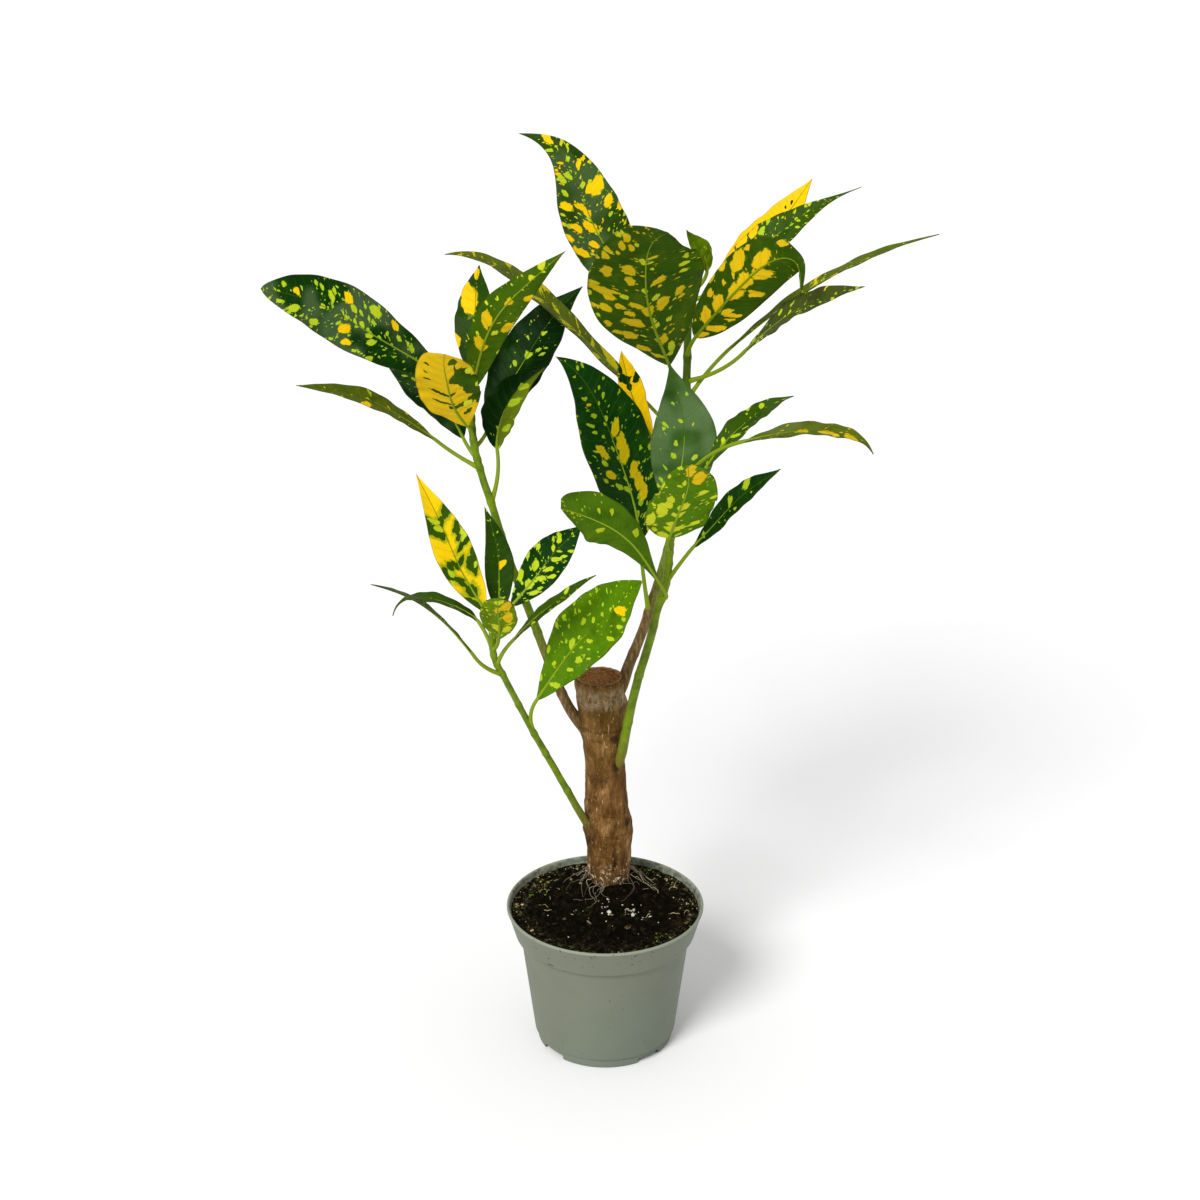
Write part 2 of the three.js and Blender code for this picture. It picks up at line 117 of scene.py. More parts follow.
# Trunk: height, centre x, centre y and radius, from its buried foot to the cut top.
TRUNK = [
    (34, 2, 15, 7),
    (62, 2, 15, 9.4),
    (78, 1.8, 15, 9.9),
    (88, 1.9, 14.8, 10),
    (98, 1.8, 14.5, 10.9),
    (104, 1.2, 14.2, 10.4),
    (112, 0.6, 14, 9.8),
    (122, 0.2, 13.5, 9.2),
    (133, 0, 13, 9),
    (146, -0.6, 12.5, 9.5),
    (158, -1.6, 12, 10.2),
    (168, -2.3, 12, 10.6),
    (174, -2.6, 12, 11.1),
    (177, -2.7, 12, 11),
]

# Bark: x, y, height and radius of the dark knots, and the heights between which each tone comes in
# or goes.
BARK_KNOTS = [(3.8, 4.8, 149.5, 2.8), (5, 5.4, 135, 3), (-9.3, 10, 108, 3), (10.4, 9.5, 105, 2.6)]
BARK_TONES = {
    "olive": (118, 150),
    "collar": (163, 166),
    "collar_end": (172, 175.6),
    "wet_end": (73, 82),
    "salt": (72, 77),
    "salt_end": (80, 88),
}

# Cut top of the trunk: how wide its rim of bark is, how deep the wood dries in, how far below the
# top its edge starts, and how far in and down the bare wood reaches.
CUT_RIM = 1.5
CUT_DISH = 2.2
CUT_EDGE = 0.6
CUT_WOOD_INSET = 0.9
CUT_WOOD_DEPTH = 6

# Shoots: radius at foot and top, the points that each grows through, the height up to which it
# is woody, the heights of old leaf scars, and how much painted shade darkens its top.
SHOOTS = {
    "upper_left": Shoot(
        2.5, 1.5,
        [(-4, 12, 146), (-12, 12, 155), (-18, 12.5, 165), (-24, 14, 180), (-34, 18, 207),
         (-42.5, 21, 230), (-49.5, 25, 253), (-53.5, 27, 265), (-56.5, 29, 277), (-58, 31, 290),
         (-58.5, 32, 299)],
        185, (168, 196, 222, 240),
    ),
    "lower_left": Shoot(
        1.8, 1.3,
        [(-1, 11, 96), (-7, 9, 103), (-12, 6, 113), (-20, 2, 131), (-32, -8, 160),
         (-43, -16, 188), (-47.5, -19, 200), (-48, -22, 217)],
        107, (124, 146, 174),
    ),
    "centre": Shoot(
        2.3, 1.7,
        [(1, 11, 129), (6.5, 7, 139), (8.5, 3, 150), (13, -5, 178), (19, -11, 204),
         (22, -15, 220), (25, -17, 231), (26.5, -20, 245), (27, -24, 265)],
        134, (160, 186, 212),
    ),
    "upper_right": Shoot(
        2.6, 1.6,
        [(2, 12, 161), (7.5, 14, 172), (11, 16, 182), (17, 19, 197), (20.5, 22, 208),
         (24, 24, 219), (30.5, 28, 245), (34, 32, 276), (35, 35, 309), (35.5, 37, 350)],
        214, (186, 210, 232, 252, 290), 0.75,
    ),
}

# Leaves: the height where each petiole leaves its stem, where the midrib runs, the blade's width,
# its turn about the midrib in degrees, and the material it takes after. heading: which way it faces
# in plan, where its tip doesn't tell. fold: how far its halves rise, in degrees. belly: where along
# it it is widest. taper: how its tip narrows.
LEAVES = {
    "upper_left": [
        Leaf(290, (-67, 27, 308), [(-105, 8, 340)], (-140, -4, 357),
             26.5, -66, "dark", belly=0.52, taper=0.7),
        Leaf(269, (-73, 24, 283), [(-98, 8, 305)], (-127, -10, 318),
             10.5, -34, "light"),
        Leaf(273, (-62, 38, 279), [(-77, 52, 295)], (-100, 66, 308),
             19, -22, "dark"),
        Leaf(281, (-59, 22, 290), [(-66, 8, 310)], (-66, -6, 330),
             27, 0, "gold", heading=-95, fold=2, belly=0.5, taper=0.25),
        Leaf(286, (-57, 25, 304), [(-44, 10, 341)], (-16, -10, 374),
             16.5, -52, "light"),
        Leaf(292, (-59, 38, 310), [(-57, 50, 332)], (-55, 64, 350),
             17.5, -15, "dark"),
        Leaf(278, (-51, 38, 284), [(-34, 52, 314)], (-10, 66, 340),
             27, 24, "dark"),
        Leaf(254, (-47, 31, 276), [(-43, 33, 295)], (-26, 36, 312),
             20, 38, "dark", fold=22),
    ],
    "lower_left": [
        Leaf(212, (-51, -17, 220), [(-65, -2, 242)], (-81, 12, 272),
             17.5, -22, "gold"),
        Leaf(207, (-46, -9, 215), [(-46, 4, 233)], (-52, 12, 257),
             13, 0, "dark"),
        Leaf(209, (-40, -21, 224), [(-24, -14, 242)], (-10, -8, 256),
             17.5, 45, "dark"),
        Leaf(196, (-40, -24, 209), [(-22, -34, 231)], (-4, -42, 247),
             7, 36, "dark"),
        Leaf(201, (-54, -18, 216), [(-65, -16, 223), (-81, -13, 225)], (-91, -12, 216),
             9.5, 0, "light"),
        Leaf(191, (-56, -26, 204), [(-73, -38, 230)], (-95, -52, 247),
             7, -10, "dark"),
        Leaf(204, (-45, -30, 213), [(-44, -42, 228)], (-44, -52, 241),
             15.5, 0, "light", heading=-90, fold=2, belly=0.5, taper=0.4),
        Leaf(158, (-30, -14, 177), [(-7, -27, 215)], (15, -36, 242),
             29.5, 66, "light", belly=0.52, taper=0.95),
    ],
    "centre": [
        Leaf(257, (28, -19, 265), [(32, -4, 295)], (26, 4, 324),
             28, 0, "dark", heading=85, belly=0.44, taper=1.4),
        Leaf(249, (26, -31, 259), [(31, -49, 282)], (32, -66, 303),
             28, 0, "light", heading=-80, fold=0, belly=0.36, taper=0.45),
        Leaf(226, (25, -25, 232), [(6, -42, 264)], (-18, -34, 273),
             22.5, 74, "light", belly=0.7, taper=0.35),
        Leaf(252, (41, -22, 286), [(58, -14, 304)], (78, -2, 311),
             14, 2, "dark"),
        Leaf(243, (55, -38, 303), [(72, -42, 308), (92, -47, 310)], (106, -51, 302),
             13, 7, "light"),
        Leaf(233, (36, -27, 253), [(52, -40, 277)], (69, -54, 297),
             12.5, 55, "dark"),
    ],
    "upper_right": [
        Leaf(338, (25, 41, 345), [(-1, 48, 365), (-13, 56, 391)], (-37, 64, 407),
             29, -48, "dark", belly=0.38),
        Leaf(303, (27, 22, 317), [(18, -4, 349), (15, -22, 373)], (24, -34, 387),
             47, 12, "light", heading=-95, fold=0, belly=0.5, taper=0.4),
        Leaf(331, (45, 48, 342), [(70, 58, 365)], (89, 67, 387),
             18, 30, "gold"),
        Leaf(341, (47, 38, 347), [(75, 42, 371)], (108, 46, 388),
             17, 42, "dark", belly=0.38, taper=2.2),
        Leaf(317, (38, 26, 328), [(54, 12, 352), (72, -4, 369)], (78, -16, 357),
             24.5, -62, "gold", belly=0.42, taper=0.95),
        Leaf(297, (52, 33, 320), [(92, 30, 352)], (139, 28, 372),
             11, 2, "light"),
        Leaf(306, (59, 20, 324), [(79, 4, 346)], (104, -12, 360),
             15, 33, "dark"),
        Leaf(280, (19, 46, 292), [(-10, 44, 324), (-40, 41, 351)], (-68, 38, 361),
             15, -18, "light"),
        Leaf(204, (15, 14, 240), [(8, 11, 276), (-5, 8, 307)], (-21, 8, 325),
             32, -70, "dark", belly=0.42, taper=1.3),
        Leaf(262, (21, 32, 280), [(11, 34, 302)], (7, 37, 319),
             12.5, -38, "gold"),
        Leaf(344, (43, 38, 353), [(42, 36, 360), (38, 34, 366)], (34, 31, 373),
             9.5, -85, "light"),
    ],
}

# Patterns. green, under: main colours of the two faces. dust: how crowded the small specks are.
# gold: share that is flooded with gold. warm: 0 lime, 1 golden.
# streak: how far specks are drawn out along the side veins. painted_sheen: painted sheen, grey
# patches of reflected light on the upper face. lines: dark side veins
# in the gold. painted_light_strip: olive band along the right margin, painted light on the lit half
# of the folded blade. faint: how far all marks sink into the green. This is partly the marks' own dullness
# and partly painted shade on leaves that lie in shade.
# fringe: lime round the green marks.
# Marks: millimetres across and along from the base, then half width and half length; they lean as
# the side veins do.
LOOKS = {
    "upper_left_1": {
        "dust": 0.62, "painted_sheen": 0.55,
        "gold_marks": [
            (-2, 76, 1.8, 2.1), (-8, 52.5, 2.1, 2.2), (4.5, 49.5, 2.6, 3.3), (-8.5, 29.5, 1.7, 1.7),
            (9.5, 47, 1.8, 2.2),
        ],
        "lime_marks": [
            (-9, 39.5, 2.1, 3.1), (-5.5, 48.5, 1.5, 1.7), (-5, 59.5, 2.8, 1.4), (5.5, 76, 2, 3),
            (11.5, 36, 1.8, 1.7), (3.5, 36, 2, 1.9), (8.5, 65, 1.6, 2.2), (1, 37.5, 1.5, 1.5),
            (4, 83.5, 1, 2.1), (-3.5, 83, 0.8, 1.5), (0, 62, 1.2, 1.2), (-0.5, 50, 1, 1.1),
            (-1.5, 42.5, 1, 1.1),
        ],
    },
    "upper_left_2": {
        "green": "olive", "dust": 0.22, "warm": 0.3,
        "gold_marks": [
            (4.5, 41, 2.6, 2.6),
        ],
    },
    "upper_left_3": {
        "dust": 0.1, "painted_sheen": 0.25,
    },
    "upper_left_4": {
        "under": "moss", "gold": 1, "warm": 1, "lines": 0.15, "faint": 0.06,
        "gold_marks": [
            (6, 43.5, 1.6, 2.4),
        ],
        "lime_marks": [
            (10, 39.5, 1.8, 2.1), (13.5, 31.5, 1.3, 2.5), (6.5, 15.5, 2.1, 2),
        ],
        "green_marks": [
            (7.5, 35.5, 3.5, 5.8), (5.5, 41.5, 2, 4.4), (3.5, 45.5, 1.8, 2.2), (11.5, 21.5, 2, 5.6),
            (8.5, 18, 1.9, 2.2), (-7.5, 42.5, 1.4, 0.8), (-8, 37.5, 1.2, 0.6), (-8, 34, 1.9, 0.8),
            (-4, 24, 4.4, 1), (0.5, 22, 2.4, 0.9), (-3, 17.5, 4.3, 0.9), (1.5, 14, 4.2, 1.4),
            (5, 10.5, 2.4, 1), (10.5, 30, 4.5, 7), (12, 22, 3, 6), (5, 34, 4, 4),
        ],
    },
    "upper_left_5": {
        "green": "leaf", "under": "leaf", "dust": 0.1, "warm": 0.2,
        "gold_marks": [
            (-3, 41, 2.8, 3.4), (-1.5, 27.5, 3.1, 3.3), (6.5, 41.5, 2.4, 3.7), (0, 54.5, 1.8, 2.2),
            (5.5, 61.5, 1.9, 2.2),
        ],
        "lime_marks": [
            (-2, 78.5, 1.6, 2.1), (2.5, 36.5, 1.6, 1.5), (-1, 71, 1.2, 1.5), (7.5, 26.5, 1.4, 1.3),
        ],
    },
    "upper_left_6": {
        "dust": 0.2, "green": "dark", "warm": 0.4,
        "gold_marks": [
            (3, 30.5, 4.1, 7.9), (7, 12.5, 2.1, 2.6), (0.5, 43.5, 1.6, 2.8),
        ],
    },
    "upper_left_7": {
        "dust": 0.015, "green": "night",
        "lime_marks": [
            (-0.5, 36.5, 1.9, 1.9), (3, 30.5, 1.2, 1.2), (-1, 48.5, 1.2, 1.1),
        ],
    },
    "upper_left_8": {
        "green": "night", "dust": 0.03, "painted_light_strip": 0.6, "faint": 0.35,
        "lime_marks": [
            (-5.5, 13.5, 2.9, 2.3), (-1, -0.5, 3, 2.6), (-1.5, 34, 2.6, 1.8), (-3.5, 26.5, 3.2, 2.5),
        ],
    },
    "lower_left_1": {
        "green": "moss", "under": "moss", "gold": 1, "warm": 0.9, "lines": 0.1, "fringe": 0.75,
        "lime_marks": [
            (2.5, 47.5, 2.2, 1.4), (2, 44, 1.9, 1), (-7.5, 39.5, 1.2, 1.3), (-7, 37, 1.8, 1.2),
            (5, 24, 1.4, 2), (6.5, 20, 1.1, 1.6), (-6.5, 23.5, 0.9, 1.1),
        ],
        "green_marks": [
            (-5, 50.5, 3.6, 2.9), (5.5, 49, 2.2, 2.8), (5, 44.5, 3.8, 2.9), (0, 46, 1.7, 2),
            (2, 41.5, 1.8, 2.5), (-5.5, 41.5, 2.2, 2.5), (-6, 35, 4.1, 2.1), (-4.5, 38, 1.4, 1.7),
            (-5.5, 25, 2.9, 3.5), (-5.5, 21.5, 1.8, 2.2), (-1, 27.5, 3.2, 1.7), (1.5, 27, 1.4, 2.1),
            (6.5, 24.5, 2.8, 3.6), (4, 27.5, 1.5, 2.2), (3.5, 20.5, 2.9, 1.7), (2.5, 17.5, 1.8, 1.5),
            (0.5, 12.5, 2.7, 3.9), (4, 8, 3.4, 3.5), (3, 5.5, 3.4, 3.6), (2, 3.5, 2.1, 3.5),
            (-8, 29.5, 1.5, 2),
        ],
    },
    "lower_left_2": {
        "dust": 0.16, "green": "dark",
        "gold_marks": [
            (-1.5, 24.5, 1.9, 1.8),
        ],
    },
    "lower_left_3": {
        "dust": 0.7, "warm": 0.1,
        "lime_marks": [
            (3, 18, 1.6, 1.7), (-3, 20.5, 1.8, 1.4), (2.5, 33, 1.5, 1.6), (-2.5, 25.5, 1.7, 1.4),
            (0, 10, 2, 1.8), (-4, 9.5, 1.7, 1.3), (-4.5, 28.5, 1.1, 1), (-5, 32.5, 1.2, 1.1),
            (-2.5, 15.5, 2.2, 1.2), (5.5, 11.5, 1.7, 1.6), (1.5, 28, 1, 1.2), (-6, 19, 1.4, 1),
            (7, 24.5, 1.1, 1.2),
        ],
    },
    "lower_left_4": {
        "green": "moss", "dust": 0.16,
        "lime_marks": [
            (1.5, 37, 1.5, 1.9), (-3.5, 16, 2.1, 1.2),
        ],
    },
    "lower_left_5": {
        "green": "moss", "dust": 0.1,
    },
    "lower_left_6": {
        "green": "dim", "dust": 0.1, "painted_sheen": 0.6,
    },
    "lower_left_7": {
        "under": "sap", "dust": 0.75, "warm": 0.4, "faint": 0.1,
        "gold_marks": [
            (0, 24.5, 1.6, 2.6), (3.5, 28, 2.2, 4), (4, 18.5, 2.1, 4.7),
        ],
        "lime_marks": [
            (-1.5, 10.5, 1.8, 2.5), (3, 9, 2, 2.6), (0.5, 31.5, 2.3, 2),
        ],
    },
    "lower_left_8": {
        "green": "fresh", "under": "fresh", "dust": 0.42, "warm": 0.2, "faint": 0.15,
        "gold_marks": [
            (-3.5, 63, 3.1, 2.8),
        ],
        "lime_marks": [
            (2, 30.5, 1.6, 2), (-6.5, 29.5, 1.9, 1.7), (5, 42, 1.3, 1.5), (2.5, 46.5, 1, 1.2),
            (12.5, 36.5, 0.9, 1), (-3.5, 39.5, 1.5, 1), (1.5, 35.5, 0.8, 0.9), (9, 20, 1.1, 1.4),
            (3, 17.5, 0.8, 1), (-10.5, 35.5, 1, 0.8), (10, 44, 0.7, 0.8), (5.5, 47, 0.6, 0.8),
            (-6, 23, 1.5, 1), (-4.5, 13, 3.2, 1.4), (4.5, 8.5, 1.4, 1.4), (-10.5, 51, 1.6, 1.6),
            (-9, 58.5, 1.6, 1.3), (-6.5, 37.5, 0.7, 0.6), (9, 51, 0.7, 0.9),
        ],
    },
    "centre_1": {
        "green": "dusky", "painted_sheen": 0.66, "dust": 0.04, "faint": 0.2,
        "lime_marks": [
            (4, 23, 1.2, 1.2), (3.5, 28.5, 0.9, 1.1), (-5, 22.5, 1, 0.9), (1, 38, 0.9, 0.8),
            (11.5, 42, 0.9, 1.2), (7, 36, 0.6, 0.8), (-4, 36.5, 0.6, 0.6),
        ],
    },
    "centre_2": {
        "under": "fresh", "dust": 0.3, "warm": 0.2,
        "gold_marks": [
            (1, 51.5, 2.1, 4.7), (4.5, 45, 2.9, 4.8),
        ],
        "lime_marks": [
            (6.5, 33.5, 2, 2.1), (-11, 15, 2, 5.5), (0.5, 6.5, 5.3, 2), (-3, 2, 2.9, 2.6),
            (-8, 51, 1.1, 3.7), (-11, 44, 1.6, 4.4), (-13, 39, 1.9, 6.4), (-5.5, 27.5, 1.8, 4.8),
            (-7.5, 22, 2.5, 5), (1, 23.5, 2.4, 2.7), (0, 17, 2.9, 1.8), (-3.5, 56, 1.1, 2.4),
            (-1.5, 42.5, 0.6, 2.4), (-1, 32.5, 0.6, 2), (-1.5, 11, 1.7, 1.7), (8, 11.5, 2.8, 1.3),
        ],
    },
    "centre_3": {
        "green": "leaf", "under": "leaf", "dust": 0.03, "faint": 0.5,
        "lime_marks": [
            (4.5, 51, 0.8, 1.1), (6, 45.5, 1.5, 0.9), (-3.5, 45.5, 1.9, 1.9), (4.5, 31, 1.6, 1.6),
        ],
    },
    "centre_4": {
        "green": "moss", "dust": 0.3, "painted_sheen": 0.1,
        "lime_marks": [
            (2.5, 35.5, 1.7, 1.6), (1, 12, 1.8, 1.3), (-2.5, 17, 2.4, 1.5), (6.5, 31, 1.6, 1.3),
        ],
    },
    "centre_5": {
        "green": "olive", "under": "olive", "dust": 0.2, "warm": 0.7, "painted_sheen": 0.3, "faint": 0.25,
        "gold_marks": [
            (-1, 24.5, 2.2, 2.5), (-2.5, 34.5, 3, 3.8), (-4.5, 45, 5.5, 3.5),
        ],
    },
    "centre_6": {
        "dust": 0.1, "faint": 0.3,
        "lime_marks": [
            (3.5, 40.5, 2, 2.5), (2, 28.5, 2, 1.8), (0, 8, 1.9, 1.4), (2, 2.5, 1.7, 1.8),
        ],
    },
    "upper_right_1": {
        "green": "dark", "dust": 0.62, "warm": 0.6, "painted_sheen": 0.4,
        "gold_marks": [
            (-1.5, 84, 1.9, 2.4), (-3.5, 66.5, 1.5, 1.7), (-7.5, 55, 3.8, 3.6), (-4, 55.5, 1.9, 1.8),
            (-9.5, 46.5, 1.9, 2.5), (2.5, 48.5, 2.2, 1.9), (0.5, 44.5, 1.7, 1.9), (8, 40.5, 2.5, 2.1),
            (2, 39, 2.8, 2.7), (14.5, 38.5, 3, 1.5), (12, 31.5, 3.2, 2.3), (16, 30, 2.1, 1.3),
            (8.5, 51, 2.6, 2.5), (4, 31, 2.1, 1.9), (4, 26, 2, 1.6), (-9, 27, 1.7, 2.1),
            (-5, 24.5, 2.5, 3), (-7, 22, 1.5, 1.8), (-14, 43.5, 1.5, 2.5),
        ],
        "lime_marks": [
            (2.5, 80.5, 1.4, 1.5), (-1, 71.5, 1.2, 1.4), (-9, 65.5, 0.9, 0.9), (-1.5, 57.5, 1.3, 1.3),
            (12, 48, 0.9, 0.9), (7.5, 57.5, 1.2, 1.6), (6.5, 64.5, 1.7, 2.8), (3, 64.5, 1.3, 1.9),
            (0, 51, 1, 1), (-14.5, 31, 1.5, 1.7), (-5, 34.5, 1, 1), (0, 35.5, 1.3, 1.4),
        ],
    },
    "upper_right_2": {
        "under": "moss", "dust": 0.36, "warm": 0.72, "streak": 2.2, "faint": 0.25,
        "gold_marks": [
            (-16, 58.5, 2.7, 3.7), (-11.5, 79, 1.8, 2), (-11.5, 73.5, 1.9, 2.4), (-7.5, 73, 1.6, 2.2),
            (-17.5, 68, 2, 1.7), (-21.5, 73, 1.4, 1.2), (-12.5, 69.5, 1.1, 1.3), (-7, 57, 3.1, 3.3),
            (-6.5, 49.5, 2.2, 2.9), (-0.5, 29.5, 2.4, 2.7), (6, 32.5, 3.2, 2.8), (1.5, 13.5, 2.5, 2.4),
            (-5, 34.5, 3, 1.9), (-8, 26, 4.6, 2.2), (-10.5, 20, 2.7, 1.9), (-17, 37, 2.2, 1.8),
            (-17.5, 45.5, 4.3, 2.1), (-15, 42, 2.4, 2), (5.5, 46.5, 3.1, 2.1), (-21.5, 49.5, 3, 1.7),
            (-7.5, 11.5, 2.9, 1.8), (13.5, 37, 2.4, 2.4), (-8, 31, 2.1, 1.3), (-11.5, 36, 2.1, 1.3),
            (-17.5, 29.5, 1.8, 1.5),
        ],
        "lime_marks": [
            (-1.5, 62, 1.5, 2.4), (2.5, 55.5, 0.7, 1.3), (-6, 75.5, 1, 1.2), (-15.5, 80, 1.2, 0.9),
            (-23.5, 63, 1.4, 1.2), (-23, 59, 0.9, 1.8), (-23.5, 45.5, 1.8, 1.7), (-9, 40.5, 1.8, 1.3),
            (3.5, 36.5, 1.8, 1.5), (-0.5, 41.5, 1.1, 1.6), (1, 24.5, 1, 1), (1, 21, 1.6, 1.4),
            (7, 23.5, 1.5, 1.1), (-20.5, 35, 1.2, 0.9), (4, 9.5, 1.7, 2.6), (15.5, 58.5, 2.1, 1.7),
            (15.5, 52.5, 2.1, 1.7), (-5.5, 18, 0.9, 0.7), (16, 66, 1.3, 2.2),
        ],
    },
    "upper_right_3": {
        "gold": 1, "warm": 1,
        "green_marks": [
            (1.5, 50.5, 0.8, 0.9), (2.5, 47, 0.6, 0.6),
        ],
    },
    "upper_right_4": {
        "green": "moss", "dust": 0.72, "warm": 0.45, "painted_sheen": 0.05,
        "gold_marks": [
            (7, 14, 3, 2.8), (7.5, 21, 2.7, 2.9), (7, 26.5, 2.1, 2.4), (-9, 35, 3.5, 2.2),
            (-10, 28, 3.1, 2.2),
        ],
        "lime_marks": [
            (2.5, 20.5, 1.9, 1.9), (5.5, 29.5, 1.3, 1.6), (3.5, 52.5, 1.4, 1.8), (3, 57.5, 1, 1.5),
        ],
    },
    "upper_right_5": {
        "under": "moss", "dust": 0.3, "warm": 0.8, "streak": 2,
        "gold_marks": [
            (-8, 36, 3.6, 4.2), (-11.5, 30.5, 2, 2), (-12.5, 25, 2.2, 2.3), (-10, 42.5, 1.1, 1.5),
            (-3, 45.5, 3, 5.2), (-0.5, 32.5, 3.2, 3.5), (2.5, 40.5, 3.4, 3.8), (0, 26, 3.2, 3.3),
            (-2, 19, 2.9, 3.1), (-7.5, 19.5, 1.4, 1.5), (7.5, 32, 2.6, 1.7), (3, 18.5, 1.8, 1.6),
            (-2.5, 12, 2.9, 2.9), (6, 19, 3, 1.2), (4, 10, 3.4, 1.9), (1.5, 4, 1.9, 1.8),
            (0.5, -0.5, 1.3, 1.5), (-7, 59, 1.4, 3.2),
        ],
        "lime_marks": [
            (-8.5, 8.5, 1.2, 1.3), (-5, 5, 0.9, 1.1),
        ],
    },
    "upper_right_6": {
        "green": "olive", "gold": 0.3, "dust": 0.3, "warm": 0.6,
    },
    "upper_right_7": {
        "green": "dim", "dust": 0.3, "warm": 0.3,
    },
    "upper_right_8": {
        "green": "olive", "gold": 0.35, "dust": 0.25, "warm": 0.6, "painted_sheen": 0.1, "faint": 0.3,
    },
    "upper_right_9": {
        "dust": 0.22, "warm": 0.3, "faint": 0.5,
        "gold_marks": [
            (-3, 47, 2.4, 2.9), (-3, 40.5, 2.5, 3.1), (-2.5, 36, 3, 3.4), (-4.5, 28.5, 2.3, 2.6),
            (-5, 23.5, 2.2, 3.2), (-5.5, 19, 2.2, 2.6), (7.5, 43, 2, 2.3), (6.5, 40, 1.9, 2.4),
            (7, 31.5, 2.4, 2), (-5.5, 6, 1.9, 4.7),
        ],
        "lime_marks": [
            (4.5, 66, 1.4, 1.2), (4, 57, 1.5, 1.2), (7.5, 54.5, 1.7, 1), (7, 50.5, 1.4, 1.1),
            (-4, 65.5, 0.7, 0.8), (-4, 62, 0.7, 0.8), (-1, 60.5, 0.7, 0.8), (-1, 53, 1, 1),
            (0.5, 50.5, 0.9, 1), (-1.5, 80, 0.9, 1.2), (-4, 79.5, 0.8, 1.1), (10.5, 44, 1.3, 0.6),
            (8, 37, 1.3, 1.7), (4.5, 25, 1.8, 1.4), (1, 22, 1.7, 1.4), (10.5, 30.5, 1.1, 1),
            (-10.5, 35.5, 0.5, 0.5), (-10.5, 30.5, 0.6, 0.6), (-1, 11.5, 0.6, 0.9), (0, 5, 0.9, 0.7),
            (1.5, 40, 0.7, 1.1), (-3.5, 16, 1.3, 1.4),
        ],
    },
    "upper_right_10": {
        "gold": 1, "warm": 1, "lines": 0.1,
        "green_marks": [
            (1.5, 27, 3.8, 2.6), (-4.5, 26, 2.4, 2.4), (0.5, 23, 1.5, 2.3), (3, 32.5, 1.4, 3.1),
        ],
    },
    "upper_right_11": {
        "green": "sap", "under": "sap", "dust": 0.06,
    },
}

# How every leaf is built, in millimetres or shares. wave, waves: height and number of the slow waves
# of its edge. ripple, ripples: the same of the quick ones, full where a blade is ripple_width wide.
# vein_climb: how steeply side veins climb. quilt: swelling between them. sway: how far the midrib
# strays. flare: swelling of the petiole's foot. sunk: how much of the blade's thickness the midrib
# lies below its top. crease: how softly the fold turns. edge_shift: how far the waves of one edge
# run ahead of the other's.
BLADE = {
    "petiole_radius": 0.95,
    "midrib_radius": 0.62,
    "wave": 0.07,
    "waves": 2.5,
    "ripple": 0.55,
    "ripples": 6.3,
    "ripple_width": 26,
    "vein_spacing": 4.6,
    "vein_climb": 0.62,
    "quilt": 0.16,
    "sway": 0.012,
    "flare": 0.55,
    "sunk": 0.9,
    "crease": 0.012,
    "edge_shift": 0.3,
}

# What a leaf's pattern is when LOOKS doesn't say.
PLAIN_LOOK = {
    "green": "deep",
    "under": "moss",
    "dust": 0.0,
    "gold": 0.0,
    "warm": 0.0,
    "streak": 1.2,
    "painted_sheen": 0.0,
    "lines": 0.2,
    "painted_light_strip": 0.0,
    "faint": 0.0,
    "fringe": 0.0,
    "gold_marks": [],
    "lime_marks": [],
    "green_marks": [],
}


def srgb(red, green, blue):
    """A display colour, 0 to 255, as the linear colour that shaders use."""
    def linear(value):
        value /= 255
        return value / 12.92 if value <= 0.04045 else ((value + 0.055) / 1.055) ** 2.4
    return (linear(red), linear(green), linear(blue), 1.0)


GREENS = {
    "night": srgb(8, 38, 3),
    "deep": srgb(14, 52, 6),
    "dark": srgb(38, 66, 10),
    "dim": srgb(66, 74, 26),
    "dusky": srgb(52, 86, 28),
    "moss": srgb(50, 78, 5),
    "leaf": srgb(62, 94, 6),
    "olive": srgb(88, 100, 14),
    "fresh": srgb(80, 120, 3),
    "sap": srgb(98, 126, 4),
}


LENGTH = {"subtype": "DISTANCE", "unit": "LENGTH"}
COLOUR = {"subtype": "COLOR", "size": 4, "min": 0, "max": 1}


class PotSettings(bpy.types.PropertyGroup):
    rim_radius: bpy.props.FloatProperty(
        name="Rim Radius", description="Outer radius of the rim", default=POT_HIGH.x, **LENGTH)
    height: bpy.props.FloatProperty(
        name="Height", description="Height of the pot", default=POT_HIGH.z, **LENGTH)
    wall: bpy.props.FloatProperty(
        name="Wall", description="Thickness of the moulded wall", default=1.3 * MM, **LENGTH)
    plastic: bpy.props.FloatVectorProperty(
        name="Plastic", description="Colour of the pot", default=srgb(114, 119, 103), **COLOUR)


class PlantSettings(bpy.types.PropertyGroup):
    blade_thickness: bpy.props.FloatProperty(
        name="Blade Thickness", description="Thickness of a leaf blade", default=0.4 * MM, **LENGTH)
    gold: bpy.props.FloatVectorProperty(
        name="Gold", description="Colour of the golden marks", default=srgb(242, 196, 8), **COLOUR)
    lime: bpy.props.FloatVectorProperty(
        name="Lime", description="Colour of the young marks", default=srgb(170, 198, 36), **COLOUR)
    bark: bpy.props.FloatVectorProperty(
        name="Bark", description="Middle colour of the trunk's bark", default=srgb(126, 91, 48),
        **COLOUR)
    stem: bpy.props.FloatVectorProperty(
        name="Stem", description="Colour of green stems and petioles", default=srgb(112, 136, 14),
        **COLOUR)


class StageSettings(bpy.types.PropertyGroup):
    floor: bpy.props.FloatVectorProperty(
        name="Floor", description="Colour of the floor", default=(0.93, 0.93, 0.93, 1), **COLOUR)
    key: bpy.props.FloatProperty(
        name="Key Light", description="Strength of the wide soft light from the left front",
        default=2.5, min=0)
    daylight: bpy.props.FloatProperty(
        name="Daylight", description="Strength of the light from all round", default=0.6, min=0)


